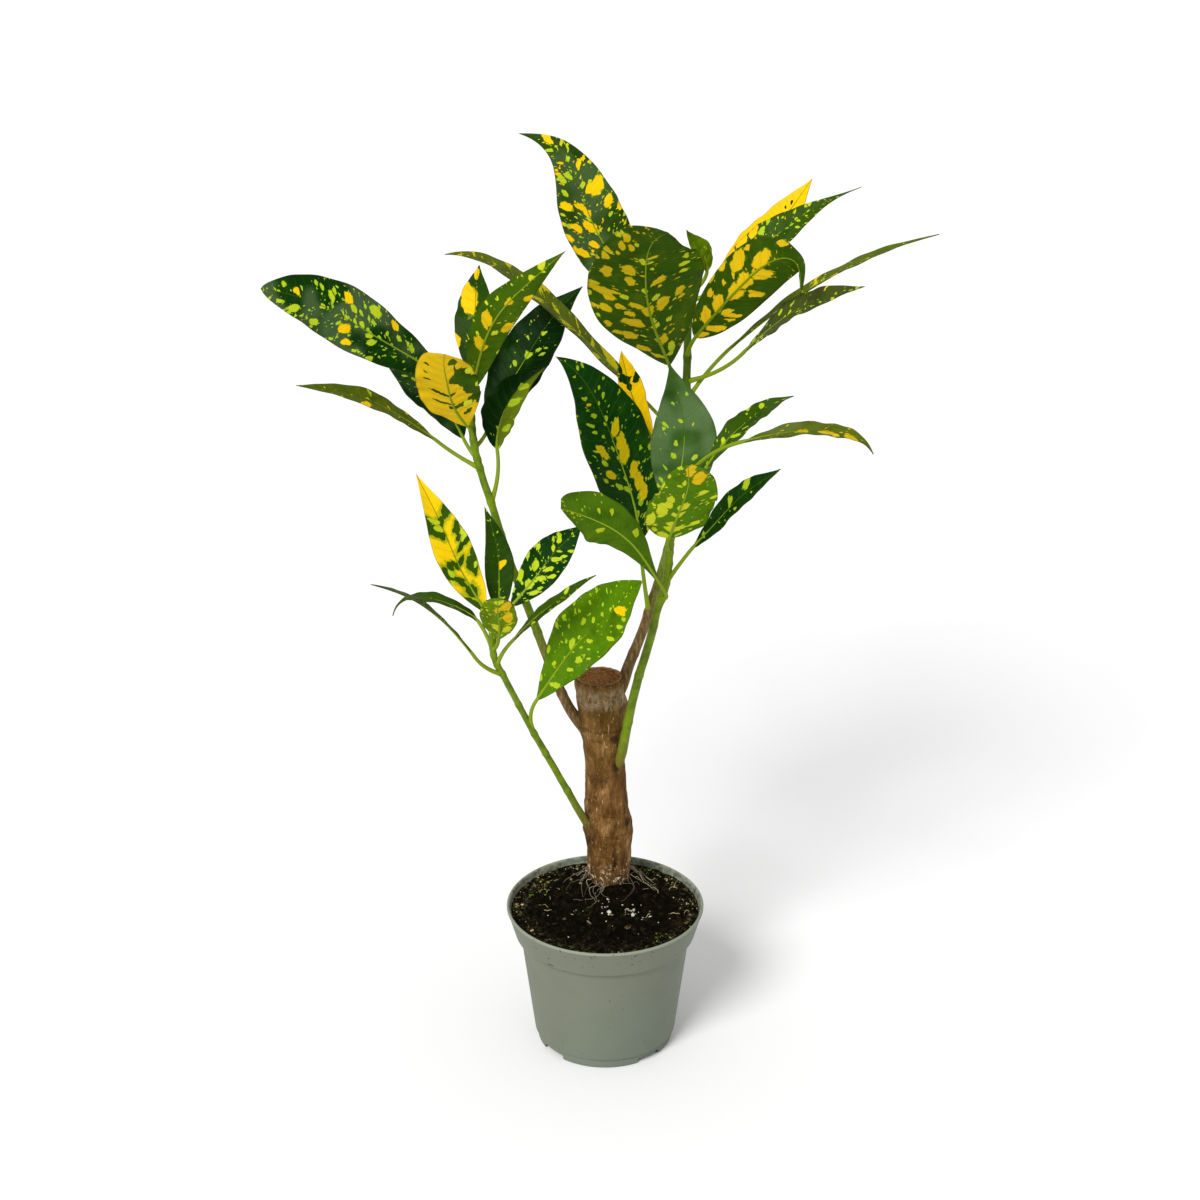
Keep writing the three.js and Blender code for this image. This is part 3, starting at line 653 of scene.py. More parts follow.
class Wire:
    """A number that varies over a surface: arithmetic on it adds Math nodes."""

    def __init__(self, paint, socket):
        self.paint = paint
        self.socket = socket

    def math(self, operation, *values):
        return self.paint.node("ShaderNodeMath", {"operation": operation}, dict(enumerate(values)))

    def __add__(self, other):
        return self.math("ADD", self, other)

    __radd__ = __add__

    def __sub__(self, other):
        return self.math("SUBTRACT", self, other)

    def __rsub__(self, other):
        return self.math("SUBTRACT", other, self)

    def __mul__(self, other):
        return self.math("MULTIPLY", self, other)

    __rmul__ = __mul__

    def __truediv__(self, other):
        return self.math("DIVIDE", self, other)

    def __pow__(self, other):
        return self.math("POWER", self, other)

    def __abs__(self):
        return self.math("ABSOLUTE", self)

    def __gt__(self, other):
        return self.math("GREATER_THAN", self, other)

    def lowest(self, other):
        return self.math("MINIMUM", self, other)

    def sine(self):
        return self.math("SINE", self)

    def sign(self):
        return self.math("SIGN", self)

    def step(self, low, high):
        """0 below low, 1 above high, smooth between."""
        return self.paint.node(
            "ShaderNodeMapRange", {"interpolation_type": "SMOOTHSTEP"},
            {"Value": self, "From Min": low, "From Max": high})

    def rise(self, low, high):
        """The same between two lengths in millimetres."""
        return self.step(low * MM, high * MM)


class Paint:
    """A material's node tree, with short calls for the nodes that the finishes use."""

    def __init__(self, name, **shader):
        self.material = bpy.data.materials.new(name)
        self.material.use_nodes = True
        self.tree = self.material.node_tree
        self.tree.nodes.clear()
        output = self.tree.nodes.new("ShaderNodeOutputMaterial")
        self.shader = self.tree.nodes.new("ShaderNodeBsdfPrincipled")
        self.tree.links.new(self.shader.outputs[0], output.inputs[0])
        for socket, value in shader.items():
            self.feed(self.shader, socket.replace("_", " "), value)

    def feed(self, node, socket, value):
        target = node.inputs[socket]
        if isinstance(value, Wire):
            self.tree.links.new(value.socket, target)
        else:
            target.default_value = value

    def node(self, kind, settings=None, sockets=None, out=0):
        made = self.tree.nodes.new(kind)
        for name, value in (settings or {}).items():
            if name == "stops":
                ramp = made.color_ramp.elements
                while len(ramp) < len(value):
                    ramp.new(1)
                for element, (place, colour) in zip(ramp, value):
                    element.position = place
                    element.color = colour
            else:
                setattr(made, name, value)
        for socket, value in (sockets or {}).items():
            self.feed(made, socket, value)
        return Wire(self, made.outputs[out])

    def place(self):
        return self.node("ShaderNodeTexCoord", out="Object")

    def stored(self, name):
        return self.node("ShaderNodeAttribute", {"attribute_name": name}, out="Vector")

    def parts(self, vector):
        split = self.tree.nodes.new("ShaderNodeSeparateXYZ")
        self.feed(split, 0, vector)
        return [Wire(self, out) for out in split.outputs]

    def vector(self, x, y, z):
        return self.node("ShaderNodeCombineXYZ", None, {0: x, 1: y, 2: z})

    def vector_math(self, operation, first, second):
        return self.node("ShaderNodeVectorMath", {"operation": operation}, {0: first, 1: second})

    def length(self, vector):
        return self.node("ShaderNodeVectorMath", {"operation": "LENGTH"}, {0: vector}, out="Value")

    def scaled(self, vector, x, y, z):
        return self.vector_math("MULTIPLY", vector, (x, y, z))

    def grain(self, vector, scale, detail=2.0, roughness=0.5, distortion=0.0):
        return self.node(
            "ShaderNodeTexNoise", None,
            {"Vector": vector, "Scale": scale, "Detail": detail, "Roughness": roughness,
             "Distortion": distortion})

    def warped(self, vector, scale, amount):
        """The vector, shaken by noise."""
        shake = self.node(
            "ShaderNodeTexNoise", None, {"Vector": vector, "Scale": scale, "Detail": 1.0}, out="Color")
        centred = self.vector_math("SUBTRACT", shake, (0.5, 0.5, 0.5))
        return self.vector_math("ADD", vector, self.scaled(centred, amount, amount, amount))

    def mix(self, share, first, second):
        return self.node(
            "ShaderNodeMix", {"data_type": "RGBA", "clamp_factor": True},
            {0: share, 6: first, 7: second}, out=2)

    def ramp(self, value, *stops):
        return self.node("ShaderNodeValToRGB", {"stops": stops}, {0: value})

    def finish(self, colour, roughness, height):
        """Wires what varies to the shader; height in metres makes the bump."""
        bump = self.node("ShaderNodeBump", None, {"Strength": 1.0, "Distance": 1.0, "Height": height})
        self.feed(self.shader, "Base Color", colour)
        self.feed(self.shader, "Roughness", roughness)
        self.feed(self.shader, "Normal", bump)
        return self.material


def mixed(first, second, share):
    return first + (second - first) * share


def smooth_step(low, high, value):
    share = min(1.0, max(0.0, (value - low) / (high - low)))
    return share * share * (3 - 2 * share)


def mesh_of(bm, name):
    """The mesh that a bmesh has become."""
    mesh = bpy.data.meshes.new(name)
    bm.to_mesh(mesh)
    bm.free()
    return mesh


def added(name, data):
    """A new object of the scene that shows a mesh, a lamp or a camera."""
    made = bpy.data.objects.new(name, data)
    bpy.context.scene.collection.objects.link(made)
    return made


def piece(bm, name, node, material, sharp=None):
    """Turns a bmesh into a finished object that rides on the root and stands for a CAD node, or for
    none. Its edges stay sharp above an angle in degrees."""
    mesh = mesh_of(bm, name)
    mesh.polygons.foreach_set("use_smooth", [True] * len(mesh.polygons))
    if sharp is not None:
        mesh.set_sharp_from_angle(angle=math.radians(sharp))
    made = added(name, mesh)
    mesh.materials.append(material)
    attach(made, "root")
    if node:
        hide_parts(node)
    return made


def skin(bm, around, along, at):
    """A closed skin rolled from a grid: at(turn, share) gives each point."""
    sheet = bmesh.ops.create_grid(bm, x_segments=around, y_segments=along, size=0.5)["verts"]
    for vertex in sheet:
        vertex.co = at(2 * math.pi * (vertex.co.x + 0.5), vertex.co.y + 0.5)
    faces = {face for vertex in sheet for face in vertex.link_faces}
    bmesh.ops.recalc_face_normals(bm, faces=list(faces))
    bmesh.ops.remove_doubles(bm, verts=sheet, dist=WELD)


def tube(bm, around, along, middle, axes, radius):
    """A round tube with closed ends along a line."""
    def at(turn, share):
        across, up = axes(share)
        grown = radius(share, turn)
        return middle(share) + across * math.cos(turn) * grown + up * math.sin(turn) * grown
    skin(bm, around, along, at)


def grown_since(bm, known):
    """The vertices that a bmesh has gained."""
    return [vertex for vertex in bm.verts if vertex not in known]


def bowed(knots, share):
    """A point of the Bezier curve of four knots."""
    a, b, c, d = knots
    rest = 1 - share
    return a * rest ** 3 + b * 3 * rest * rest * share + c * 3 * rest * share * share + d * share ** 3


def bowed_heading(knots, share):
    """The way that the Bezier curve of four knots runs at a share of it."""
    a, b, c, d = knots
    rest = 1 - share
    return ((b - a) * rest * rest + (c - b) * 2 * rest * share + (d - c) * share * share).normalized()


def knots_through(points):
    """Knots of the curve through three points, or through four at thirds of its way."""
    if len(points) == 3:
        weights = ((0, 4 / 3, -1 / 3), (-1 / 3, 4 / 3, 0))
    else:
        weights = ((-5 / 6, 3, -3 / 2, 1 / 3), (1 / 3, -3 / 2, 3, -5 / 6))
    inner = [sum((point * w for point, w in zip(points, row)), Vector()) for row in weights]
    return points[0], *inner, points[-1]


class Curve:
    """A smooth curve through points, walked by its length."""

    STEPS = 24

    def __init__(self, points):
        points = [Vector(point) * MM for point in points]
        ends = [points[0] * 2 - points[1], points[-1] * 2 - points[-2]]
        knots = [ends[0], *points, ends[1]]
        self.line = []
        for k in range(1, len(knots) - 2):
            before, start, end, after = knots[k - 1:k + 3]
            for i in range(self.STEPS):
                t = i / self.STEPS
                self.line.append(
                    0.5 * (2 * start + (end - before) * t
                           + (2 * before - 5 * start + 4 * end - after) * t * t
                           + (3 * start - before - 3 * end + after) * t ** 3))
        self.line.append(points[-1])
        self.walked = [0.0]
        for a, b in zip(self.line, self.line[1:]):
            self.walked.append(self.walked[-1] + (b - a).length)

    def at(self, share):
        want = share * self.walked[-1]
        low, high = 0, len(self.walked) - 1
        while high - low > 1:
            middle = (low + high) // 2
            if self.walked[middle] <= want:
                low = middle
            else:
                high = middle
        span = self.walked[high] - self.walked[low] or 1
        return self.line[low].lerp(self.line[high], min(1, (want - self.walked[low]) / span))

    def heading(self, share):
        return (self.at(min(1, share + 0.01)) - self.at(max(0, share - 0.01))).normalized()

    def axes(self, share):
        along = self.heading(share)
        across = along.cross(Vector((0, 1, 0))).normalized()
        return across, across.cross(along)

    def at_height(self, height):
        low, high = 0.0, 1.0
        for _ in range(30):
            middle = (low + high) / 2
            if self.at(middle).z < height:
                low = middle
            else:
                high = middle
        return self.at(low)

    def share_at(self, height):
        return min(range(201), key=lambda i: abs(self.at(i / 200).z - height)) / 200


CURVES = {side: Curve(shoot.points) for side, shoot in SHOOTS.items()}


def ring_point(centre, turn, away, level):
    """The point at a turn and a distance from an upright line, all in metres."""
    return Vector((centre.x + math.cos(turn) * away, centre.y + math.sin(turn) * away, level))


def trunk_at(height):
    """The trunk's centre and radius, in metres, at a height in millimetres."""
    above = next((k for k, ring in enumerate(TRUNK) if ring[0] >= height), len(TRUNK) - 1)
    above = max(1, above)
    lower, upper = TRUNK[above - 1], TRUNK[above]
    share = smooth_step(lower[0], upper[0], height)
    x, y, radius = (mixed(lower[k], upper[k], share) * MM for k in (1, 2, 3))
    return Vector((x, y, 0)), radius


def soil_height(x, y):
    """Height of the soil's surface in metres, over a point in metres."""
    centre, _ = trunk_at(SOIL["level"])
    away = math.hypot(x - centre.x, y - centre.y) / (SOIL["mound_radius"] * MM)
    edge = min(1, max(0, (POT_HIGH.x - 3 * MM - math.hypot(x, y)) / (6 * MM)))
    rise = SOIL["mound"] * math.exp(-away ** 4) * edge
    spot = Vector((x, y, 0)) / MM
    swell = noise.noise(spot * 0.09) * 1.3 * edge
    distances, _ = noise.voronoi(spot * 0.33)
    crumb = (0.55 - distances[0]) * 1.5
    fines, _ = noise.voronoi(spot * 0.8 + Vector((7, 3, 1)))
    grit = (0.5 - fines[0]) * 0.55
    return (SOIL["level"] + rise + swell + (crumb + grit) * (0.45 + 0.55 * edge)) * MM


def plastic_paint(settings):
    paint = Paint("pot_plastic", IOR=1.46, Specular_IOR_Level=0.22)
    place = paint.place()
    _, _, z = paint.parts(place)
    base = tuple(settings.plastic)
    teal = paint.grain(place, 14, 1).step(0.45, 0.7)
    cloudy = paint.grain(place, 60, 3, 0.6)
    colour = paint.mix(teal * 0.55, base, srgb(104, 120, 106))
    colour = paint.mix(cloudy.step(0.35, 0.75) * 0.25, colour, srgb(104, 108, 94))
    lip = z.step(POT_HIGH.z - 1.6 * MM, POT_HIGH.z - 0.4 * MM)
    colour = paint.mix(lip * 0.45, colour, srgb(160, 166, 146))
    splash = paint.grain(place, 420, 3, 0.7)
    low_dust = 1 - z.rise(*DIRT["foot"])
    high_dust = z.rise(*DIRT["band"])
    dirt = (splash + low_dust * 0.05 + high_dust * 0.07).step(0.69, 0.74)
    colour = paint.mix(dirt * 0.75, colour, srgb(58, 50, 38))
    band_foot, band_radius = POT["band_foot"] * MM, POT["band_foot_radius"] * MM
    outside = (z - band_foot) * ((POT_HIGH.x - band_radius) / (POT_HIGH.z - band_foot)) + band_radius
    depth = outside - paint.length(paint.scaled(place, 1, 1, 0))
    inner = depth.rise(0.6, 1.1) * z.rise(*DIRT["inside"])
    crust = inner * (splash + (z - DIRT["crust"] * MM) * 10).step(0.44, 0.6)
    colour = paint.mix(crust * 0.5, colour, srgb(172, 170, 148))
    grime = inner * paint.grain(place, 300, 3, 0.7).step(0.5, 0.6)
    colour = paint.mix(grime * 0.6, colour, srgb(62, 56, 40))
    spot = paint.vector_math("SUBTRACT", place, tuple(value * MM for value in DIRT["smear"]))
    spot = paint.scaled(spot, *(1 / (half * MM) for half in DIRT["smear_size"]))
    smear = 1 - paint.length(spot).step(0.5, 1.1)
    colour = paint.mix(smear * 0.7, colour, srgb(70, 64, 48))
    skin_grain = paint.grain(place, 2600, 2)
    rings = paint.grain(paint.scaled(place, 1, 1, 60), 20, 2)
    rough = 0.5 + cloudy * 0.16 + dirt * 0.2
    return paint.finish(colour, rough, skin_grain * 0.00003 + rings * 0.00005)


def soil_paint():
    paint = Paint("potting_soil", Specular_IOR_Level=0.02)
    place = paint.place()
    coarse = paint.grain(place, 260, 4, 0.7)
    fine = paint.grain(place, 1400, 3, 0.7)
    colour = paint.ramp(
        coarse * 0.6 + fine * 0.4,
        (0.3, srgb(4, 3, 1)), (0.52, srgb(13, 10, 5)), (0.66, srgb(34, 27, 14)), (0.8, srgb(84, 72, 44)))
    green = paint.grain(place, 90, 3, 0.6).step(0.58, 0.68) * paint.grain(place, 700, 2).step(0.45, 0.6)
    colour = paint.mix(green * 0.5, colour, srgb(52, 60, 18))
    out = paint.length(paint.scaled(place, 1, 1, 0)).rise(30, 41)
    crust = paint.grain(place, 480, 3, 0.7).step(0.5, 0.66) * out
    colour = paint.mix(crust * 0.5, colour, srgb(112, 104, 70))
    return paint.finish(colour, 0.72 + fine * 0.3, coarse * 0.0006 + fine * 0.0004)


def toned_paint(name, dark, light, roughness, scale, bump):
    """A finish whose pieces each have their own tone, kept in the attribute tone."""
    paint = Paint(name, Specular_IOR_Level=0.06)
    place = paint.place()
    tone, _, _ = paint.parts(paint.stored("tone"))
    fine = paint.grain(place, scale, 3, 0.65)
    colour = paint.mix(tone, dark, light)
    colour = paint.mix(fine.step(0.4, 0.7) * 0.5, colour, dark)
    return paint.finish(colour, roughness, fine * bump)


def bark_paint(settings):
    paint = Paint("trunk_bark", Specular_IOR_Level=0.08)
    place = paint.place()
    _, _, z = paint.parts(place)
    bark = tuple(settings.bark)
    upright = paint.scaled(place, 1, 1, 0.2)
    fibre = paint.grain(upright, 620, 5, 0.72, 0.9)
    broad = paint.grain(paint.scaled(place, 1, 1, 0.5), 150, 5, 0.68)
    level = paint.grain(paint.scaled(place, 0.25, 0.25, 1), 330, 3, 0.6)
    colour = paint.ramp(
        fibre * 0.34 + broad * 0.66,
        (0.34, srgb(46, 29, 12)), (0.46, srgb(92, 62, 26)), (0.55, bark), (0.66, srgb(176, 140, 94)))
    red = paint.grain(place, 70, 2).step(0.5, 0.68)
    colour = paint.mix(red * 0.2, colour, srgb(128, 80, 42))
    colour = paint.mix(z.rise(*BARK_TONES["olive"]) * 0.3, colour, srgb(112, 88, 32))
    scars = level.step(0.58, 0.66) * 0.6
    colour = paint.mix(scars, colour, srgb(66, 42, 22))
    scratch = paint.grain(paint.scaled(place, 1, 1, 0.3), 1100, 2, 0.5).step(0.66, 0.72)
    colour = paint.mix(scratch * 0.5, colour, srgb(208, 184, 148))
    for x, y, high, size in BARK_KNOTS:
        off = paint.vector_math("SUBTRACT", place, (x * MM, y * MM, high * MM))
        knot = 1 - (paint.length(off) / (size * MM) + (fibre - 0.5)).step(0.5, 1.2)
        colour = paint.mix(knot * 0.75, colour, srgb(44, 26, 12))
    crackle = paint.grain(paint.scaled(place, 1, 1, 0.6), 460, 5, 0.75, 0.6)
    collar = z.rise(*BARK_TONES["collar"]) * (1 - z.rise(*BARK_TONES["collar_end"]))
    colour = paint.mix(collar * (crackle.step(0.4, 0.62) * 0.8 + 0.05), colour, srgb(172, 150, 118))
    wet = 1 - z.rise(*BARK_TONES["wet_end"])
    colour = paint.mix(wet * 0.75, colour, srgb(50, 32, 17))
    salted = (1 - z.rise(*BARK_TONES["salt_end"])) * z.rise(*BARK_TONES["salt"])
    salt = salted * paint.grain(place, 600, 3, 0.7).step(0.56, 0.63)
    colour = paint.mix(salt * 0.9, colour, srgb(216, 202, 180))
    rough = 0.62 + fibre * 0.25
    return paint.finish(colour, rough, fibre * 0.0009 + level * 0.0003)


def wood_paint():
    """The cut top of the trunk: reddish, dried, with faint rings."""
    paint = Paint("cut_wood", Specular_IOR_Level=0.08)
    place = paint.place()
    centre, _ = trunk_at(TRUNK[-1][0])
    from_pith = paint.vector_math("SUBTRACT", place, (centre.x, centre.y, 0))
    x, y, _ = paint.parts(from_pith)
    away = (x * x + y * y) ** 0.5
    rings = (away * 5200 + paint.grain(place, 160, 2) * 7).sine() * 0.5 + 0.5
    fine = paint.grain(place, 900, 4, 0.7)
    colour = paint.ramp(
        fine * 0.84 + rings * 0.08,
        (0.34, srgb(92, 56, 26)), (0.5, srgb(146, 96, 50)), (0.66, srgb(192, 146, 92)))
    edge = away.rise(8.8, 10.6)
    colour = paint.mix(edge * 0.8, colour, srgb(190, 162, 122))
    pale = paint.grain(place, 130, 2).step(0.5, 0.66)
    colour = paint.mix(pale * 0.35, colour, srgb(150, 110, 70))
    return paint.finish(colour, 0.7, fine * 0.0006 + rings * 0.00012)


def stem_paint(name, shoot, settings):
    """A stem: brown and barky up to its woody height, then green, with painted shade darkening its top."""
    paint = Paint(name, Specular_IOR_Level=0.12)
    place = paint.place()
    _, _, z = paint.parts(place)
    fibre = paint.grain(paint.scaled(place, 1, 1, 0.2), 900, 4, 0.65)
    cloudy = paint.grain(place, 180, 2)
    green = paint.mix(cloudy.step(0.35, 0.7), tuple(settings.stem), srgb(84, 110, 14))
    green = paint.mix(fibre.step(0.55, 0.75) * 0.35, green, srgb(148, 160, 54))
    wood = paint.ramp(
        fibre, (0.3, srgb(70, 52, 26)), (0.52, srgb(112, 88, 50)), (0.74, srgb(156, 130, 88)))
    top = shoot.points[-1][2]
    # Painted shade: the stem's top is darkened as if shaded by the leaves above it.
    green = paint.mix(z.rise(top - 90, top - 20) * shoot.dusk, green, srgb(48, 74, 12))
    foot = shoot.points[0][2]
    green = paint.mix((1 - z.rise(foot - 4, foot + 26)) * 0.6, green, srgb(138, 132, 10))
    turn = (z + (cloudy - 0.5) * 0.03).rise(shoot.woody - 14, shoot.woody + 22)
    colour = paint.mix(turn, wood, green)
    return paint.finish(colour, 0.42 + fibre * 0.25 - turn * 0.08, fibre * 0.0004)


def leaf_paint(name, look, seed, settings):
    """A speckled leaf. growth holds millimetres across and along the blade and which face it is;
    blade holds shares across and along it, and 1 on the stalk."""
    paint = Paint(name, Specular_IOR_Level=0.03)
    across, along, upper = paint.parts(paint.stored("growth"))
    part, share, stalk = paint.parts(paint.stored("blade"))
    half = across.sign()
    out = abs(across)
    climb = along - out * BLADE["vein_climb"]
    veined = paint.vector(out / look["streak"], climb, half * 31 + seed)
    frayed = paint.warped(veined, 0.8, 1.9)
    lime = tuple(settings.lime)
    gold = tuple(settings.gold)
    spot = paint.warped(paint.warped(paint.vector(across, climb, 0), 0.33, 2.2), 1.0, 0.7)
    fray = (paint.grain(paint.vector(across, along, seed), 0.5, 3, 0.5) - 0.5) * 0.8

    def ovals(marks, reach=1.0):
        """How much of each place some frayed ovals cover, when they are so many times as large."""
        nearest = 9.0
        for x, y, half_width, half_length in marks:
            off = paint.vector_math("SUBTRACT", spot, (x, y - abs(x) * BLADE["vein_climb"], 0))
            away = paint.length(paint.scaled(off, 1 / half_width, 1 / half_length, 0))
            nearest = away.lowest(nearest)
        return 1 - (nearest + fray).step(0.75 * reach, 1.2 * reach)

    def specks(cell, keep, size, at):
        """Irregular specks strewn over the blade: how much of each place they cover."""
        moved = paint.vector_math("ADD", frayed, (at, at * 2, at * 3))
        cells = {"Vector": moved, "Scale": 1 / cell, "Randomness": 1.0}
        spread = paint.node("ShaderNodeTexVoronoi", None, cells, out="Distance")
        chance = paint.node("ShaderNodeTexVoronoi", None, cells, out="Color")
        first, second, third = paint.parts(chance)
        crowd = paint.grain(paint.vector(across * 0.07, along * 0.06, seed + at), 1.0, 1)
        here = (crowd * 1.8 + (keep - 0.9)) > first
        return ((second * 0.6 + 0.4) * size - spread).step(0, 0.13) * here, third

    def spotted(colour, cover, warm):
        """The colour with marks laid over it, each with a lime rim that fades out."""
        bright = paint.mix(warm, lime, gold)
        dim = paint.mix(warm, srgb(194, 206, 40), srgb(220, 182, 20))
        mark = paint.mix(upper, dim, bright)
        rim = paint.mix(upper, srgb(100, 128, 12), srgb(98, 140, 14))
        colour = paint.mix(cover.step(0.02, 0.4) * 0.6, colour, rim)
        # faint dulls the marks. This is partly their own dull colour and partly painted shade on leaves
        # that lie in shade.
        return paint.mix(cover.step(0.3, 0.8) * (1 - look["faint"]), colour, mark)

    cloud = paint.grain(paint.vector(across * 0.1, along * 0.07, seed), 1.0, 3, 0.6)
    colour = paint.mix(upper, GREENS[look["under"]], GREENS[look["green"]])
    shade = paint.mix(upper, srgb(32, 58, 3), srgb(5, 32, 2))
    colour = paint.mix(cloud.step(0.5, 0.72) * 0.45, colour, shade)
    light = paint.mix(upper, srgb(88, 108, 14), srgb(40, 84, 8))
    colour = paint.mix((1 - cloud.step(0.3, 0.5)) * 0.35, colour, light)
    # Painted sheen: grey patches of reflected light painted on the upper face.
    if look["painted_sheen"] > 0:
        sheen_patches = paint.grain(paint.vector(across * 0.06, along * 0.07, seed + 4), 1.0, 1).step(0.4, 0.6)
        colour = paint.mix(sheen_patches * upper * look["painted_sheen"] * 0.62, colour, srgb(108, 130, 88))
    # Painted light: an olive band along the right margin lightens the lit half of a folded blade.
    if look["painted_light_strip"] > 0:
        painted_light_strip = (across * -1 + cloud * 2).step(0.6, 1.6)
        colour = paint.mix(painted_light_strip * look["painted_light_strip"], colour, srgb(116, 132, 22))
    vein_wave = (climb / BLADE["vein_spacing"] * 2 * math.pi + (cloud - 0.5) * 6).sine()
    vein = vein_wave.step(0.93, 1.0) * (1 - abs(part).step(0.7, 0.95))
    vein_strength = paint.mix(upper, srgb(110, 110, 110), srgb(70, 70, 70))
    colour = paint.mix(vein * vein_strength, colour, srgb(112, 150, 60))

    plain = colour
    broken = paint.grain(paint.vector(out * 0.15, along * 0.25, seed + 5), 1.0, 3).step(0.42, 0.56)
    lined = vein_wave.step(0.75, 1.0) * broken
    if look["gold"] > 0:
        drawn = paint.vector(out * 0.075 / look["streak"], climb * 0.12, half * 3 + seed * 1.7)
        drift = paint.grain(drawn, 1.0, 4, 0.6, 0.4)
        bar = 0.5 + (0.5 - look["gold"]) * 0.5
        flood = drift.step(bar - 0.02, bar + 0.03) if look["gold"] < 1 else 1 - cloud * 0.15
        colour = spotted(colour, flood * (1 - lined * look["lines"]), look["warm"])
    if look["green_marks"]:
        patch = ovals(look["green_marks"])
        if look["fringe"] > 0:
            colour = paint.mix(ovals(look["green_marks"], 1.5) * look["fringe"], colour, srgb(126, 156, 12))
        colour = paint.mix(patch.step(0.35, 0.8), colour, plain)
    if look["dust"] > 0:
        for cell, keep, size, at in ((3.1, look["dust"], 0.46, 3.7), (1.6, look["dust"] * 0.8, 0.4, 11.3)):
            cover, chance = specks(cell, keep, size, at)
            colour = spotted(colour, cover, (chance + (look["warm"] - 0.5) * 1.6).step(0.35, 0.65))
    for marks, warm in ((look["lime_marks"], 0.1), (look["gold_marks"], 1.0)):
        if marks:
            colour = spotted(colour, ovals(marks), warm)

    rib = 1 - (out / ((1 - share) * 0.32 + 0.1)).step(0.6, 1.4)
    rib_colour = paint.mix(upper, srgb(104, 124, 22), srgb(74, 104, 20))
    colour = paint.mix(rib * 0.6, colour, rib_colour)
    colour = paint.mix(abs(part).step(0.94, 0.995) * 0.4, colour, srgb(58, 62, 14))
    stalk_colour = paint.mix(cloud.step(0.3, 0.7), tuple(settings.stem), srgb(138, 158, 44))
    colour = paint.mix(stalk, colour, stalk_colour)
    cells = paint.grain(paint.vector(across * 1.6, along * 1.6, seed), 1.0, 3, 0.6)
    rough = (1 - upper) * 0.22 + (cells - 0.5) * 0.12 + 0.36
    face = upper * 2 - 1
    height = vein * face * -0.00012 + rib * face * -0.00018 + cells * 0.00007
    return paint.finish(colour, rough, height)


def leaf_path(leaf, root):
    """Curves and axes of one leaf, in metres: petiole, blade, and the axes along both."""
    blade = knots_through([Vector(point) * MM for point in (leaf.base, *leaf.via, leaf.tip)])
    base = blade[0]
    elbow = base - bowed_heading(blade, 0) * (base - root).length * 0.5
    petiole = (root, root.lerp(elbow, 2 / 3), base.lerp(elbow, 2 / 3), base)
    chord = blade[-1] - base
    heading = math.atan2(chord.y, chord.x) if leaf.heading is None else math.radians(leaf.heading)
    left = Vector((-math.sin(heading), math.cos(heading), 0))
    roll = math.radians(leaf.roll)

    def axes(curve, share):
        along = bowed_heading(curve, share)
        flat = (left - along * left.dot(along)).normalized()
        rise = along.cross(flat)
        side = flat * math.cos(roll) + rise * math.sin(roll)
        face = rise * math.cos(roll) - flat * math.sin(roll)
        return side, face

    return petiole, blade, axes


def outline(t, belly, taper):
    """Share of the blade's full width at a share of its length."""
    shifted = t ** (math.log(0.5) / math.log(belly))
    return max(0.0, math.sin(math.pi * min(1, shifted))) ** (0.85 if t < belly else taper)


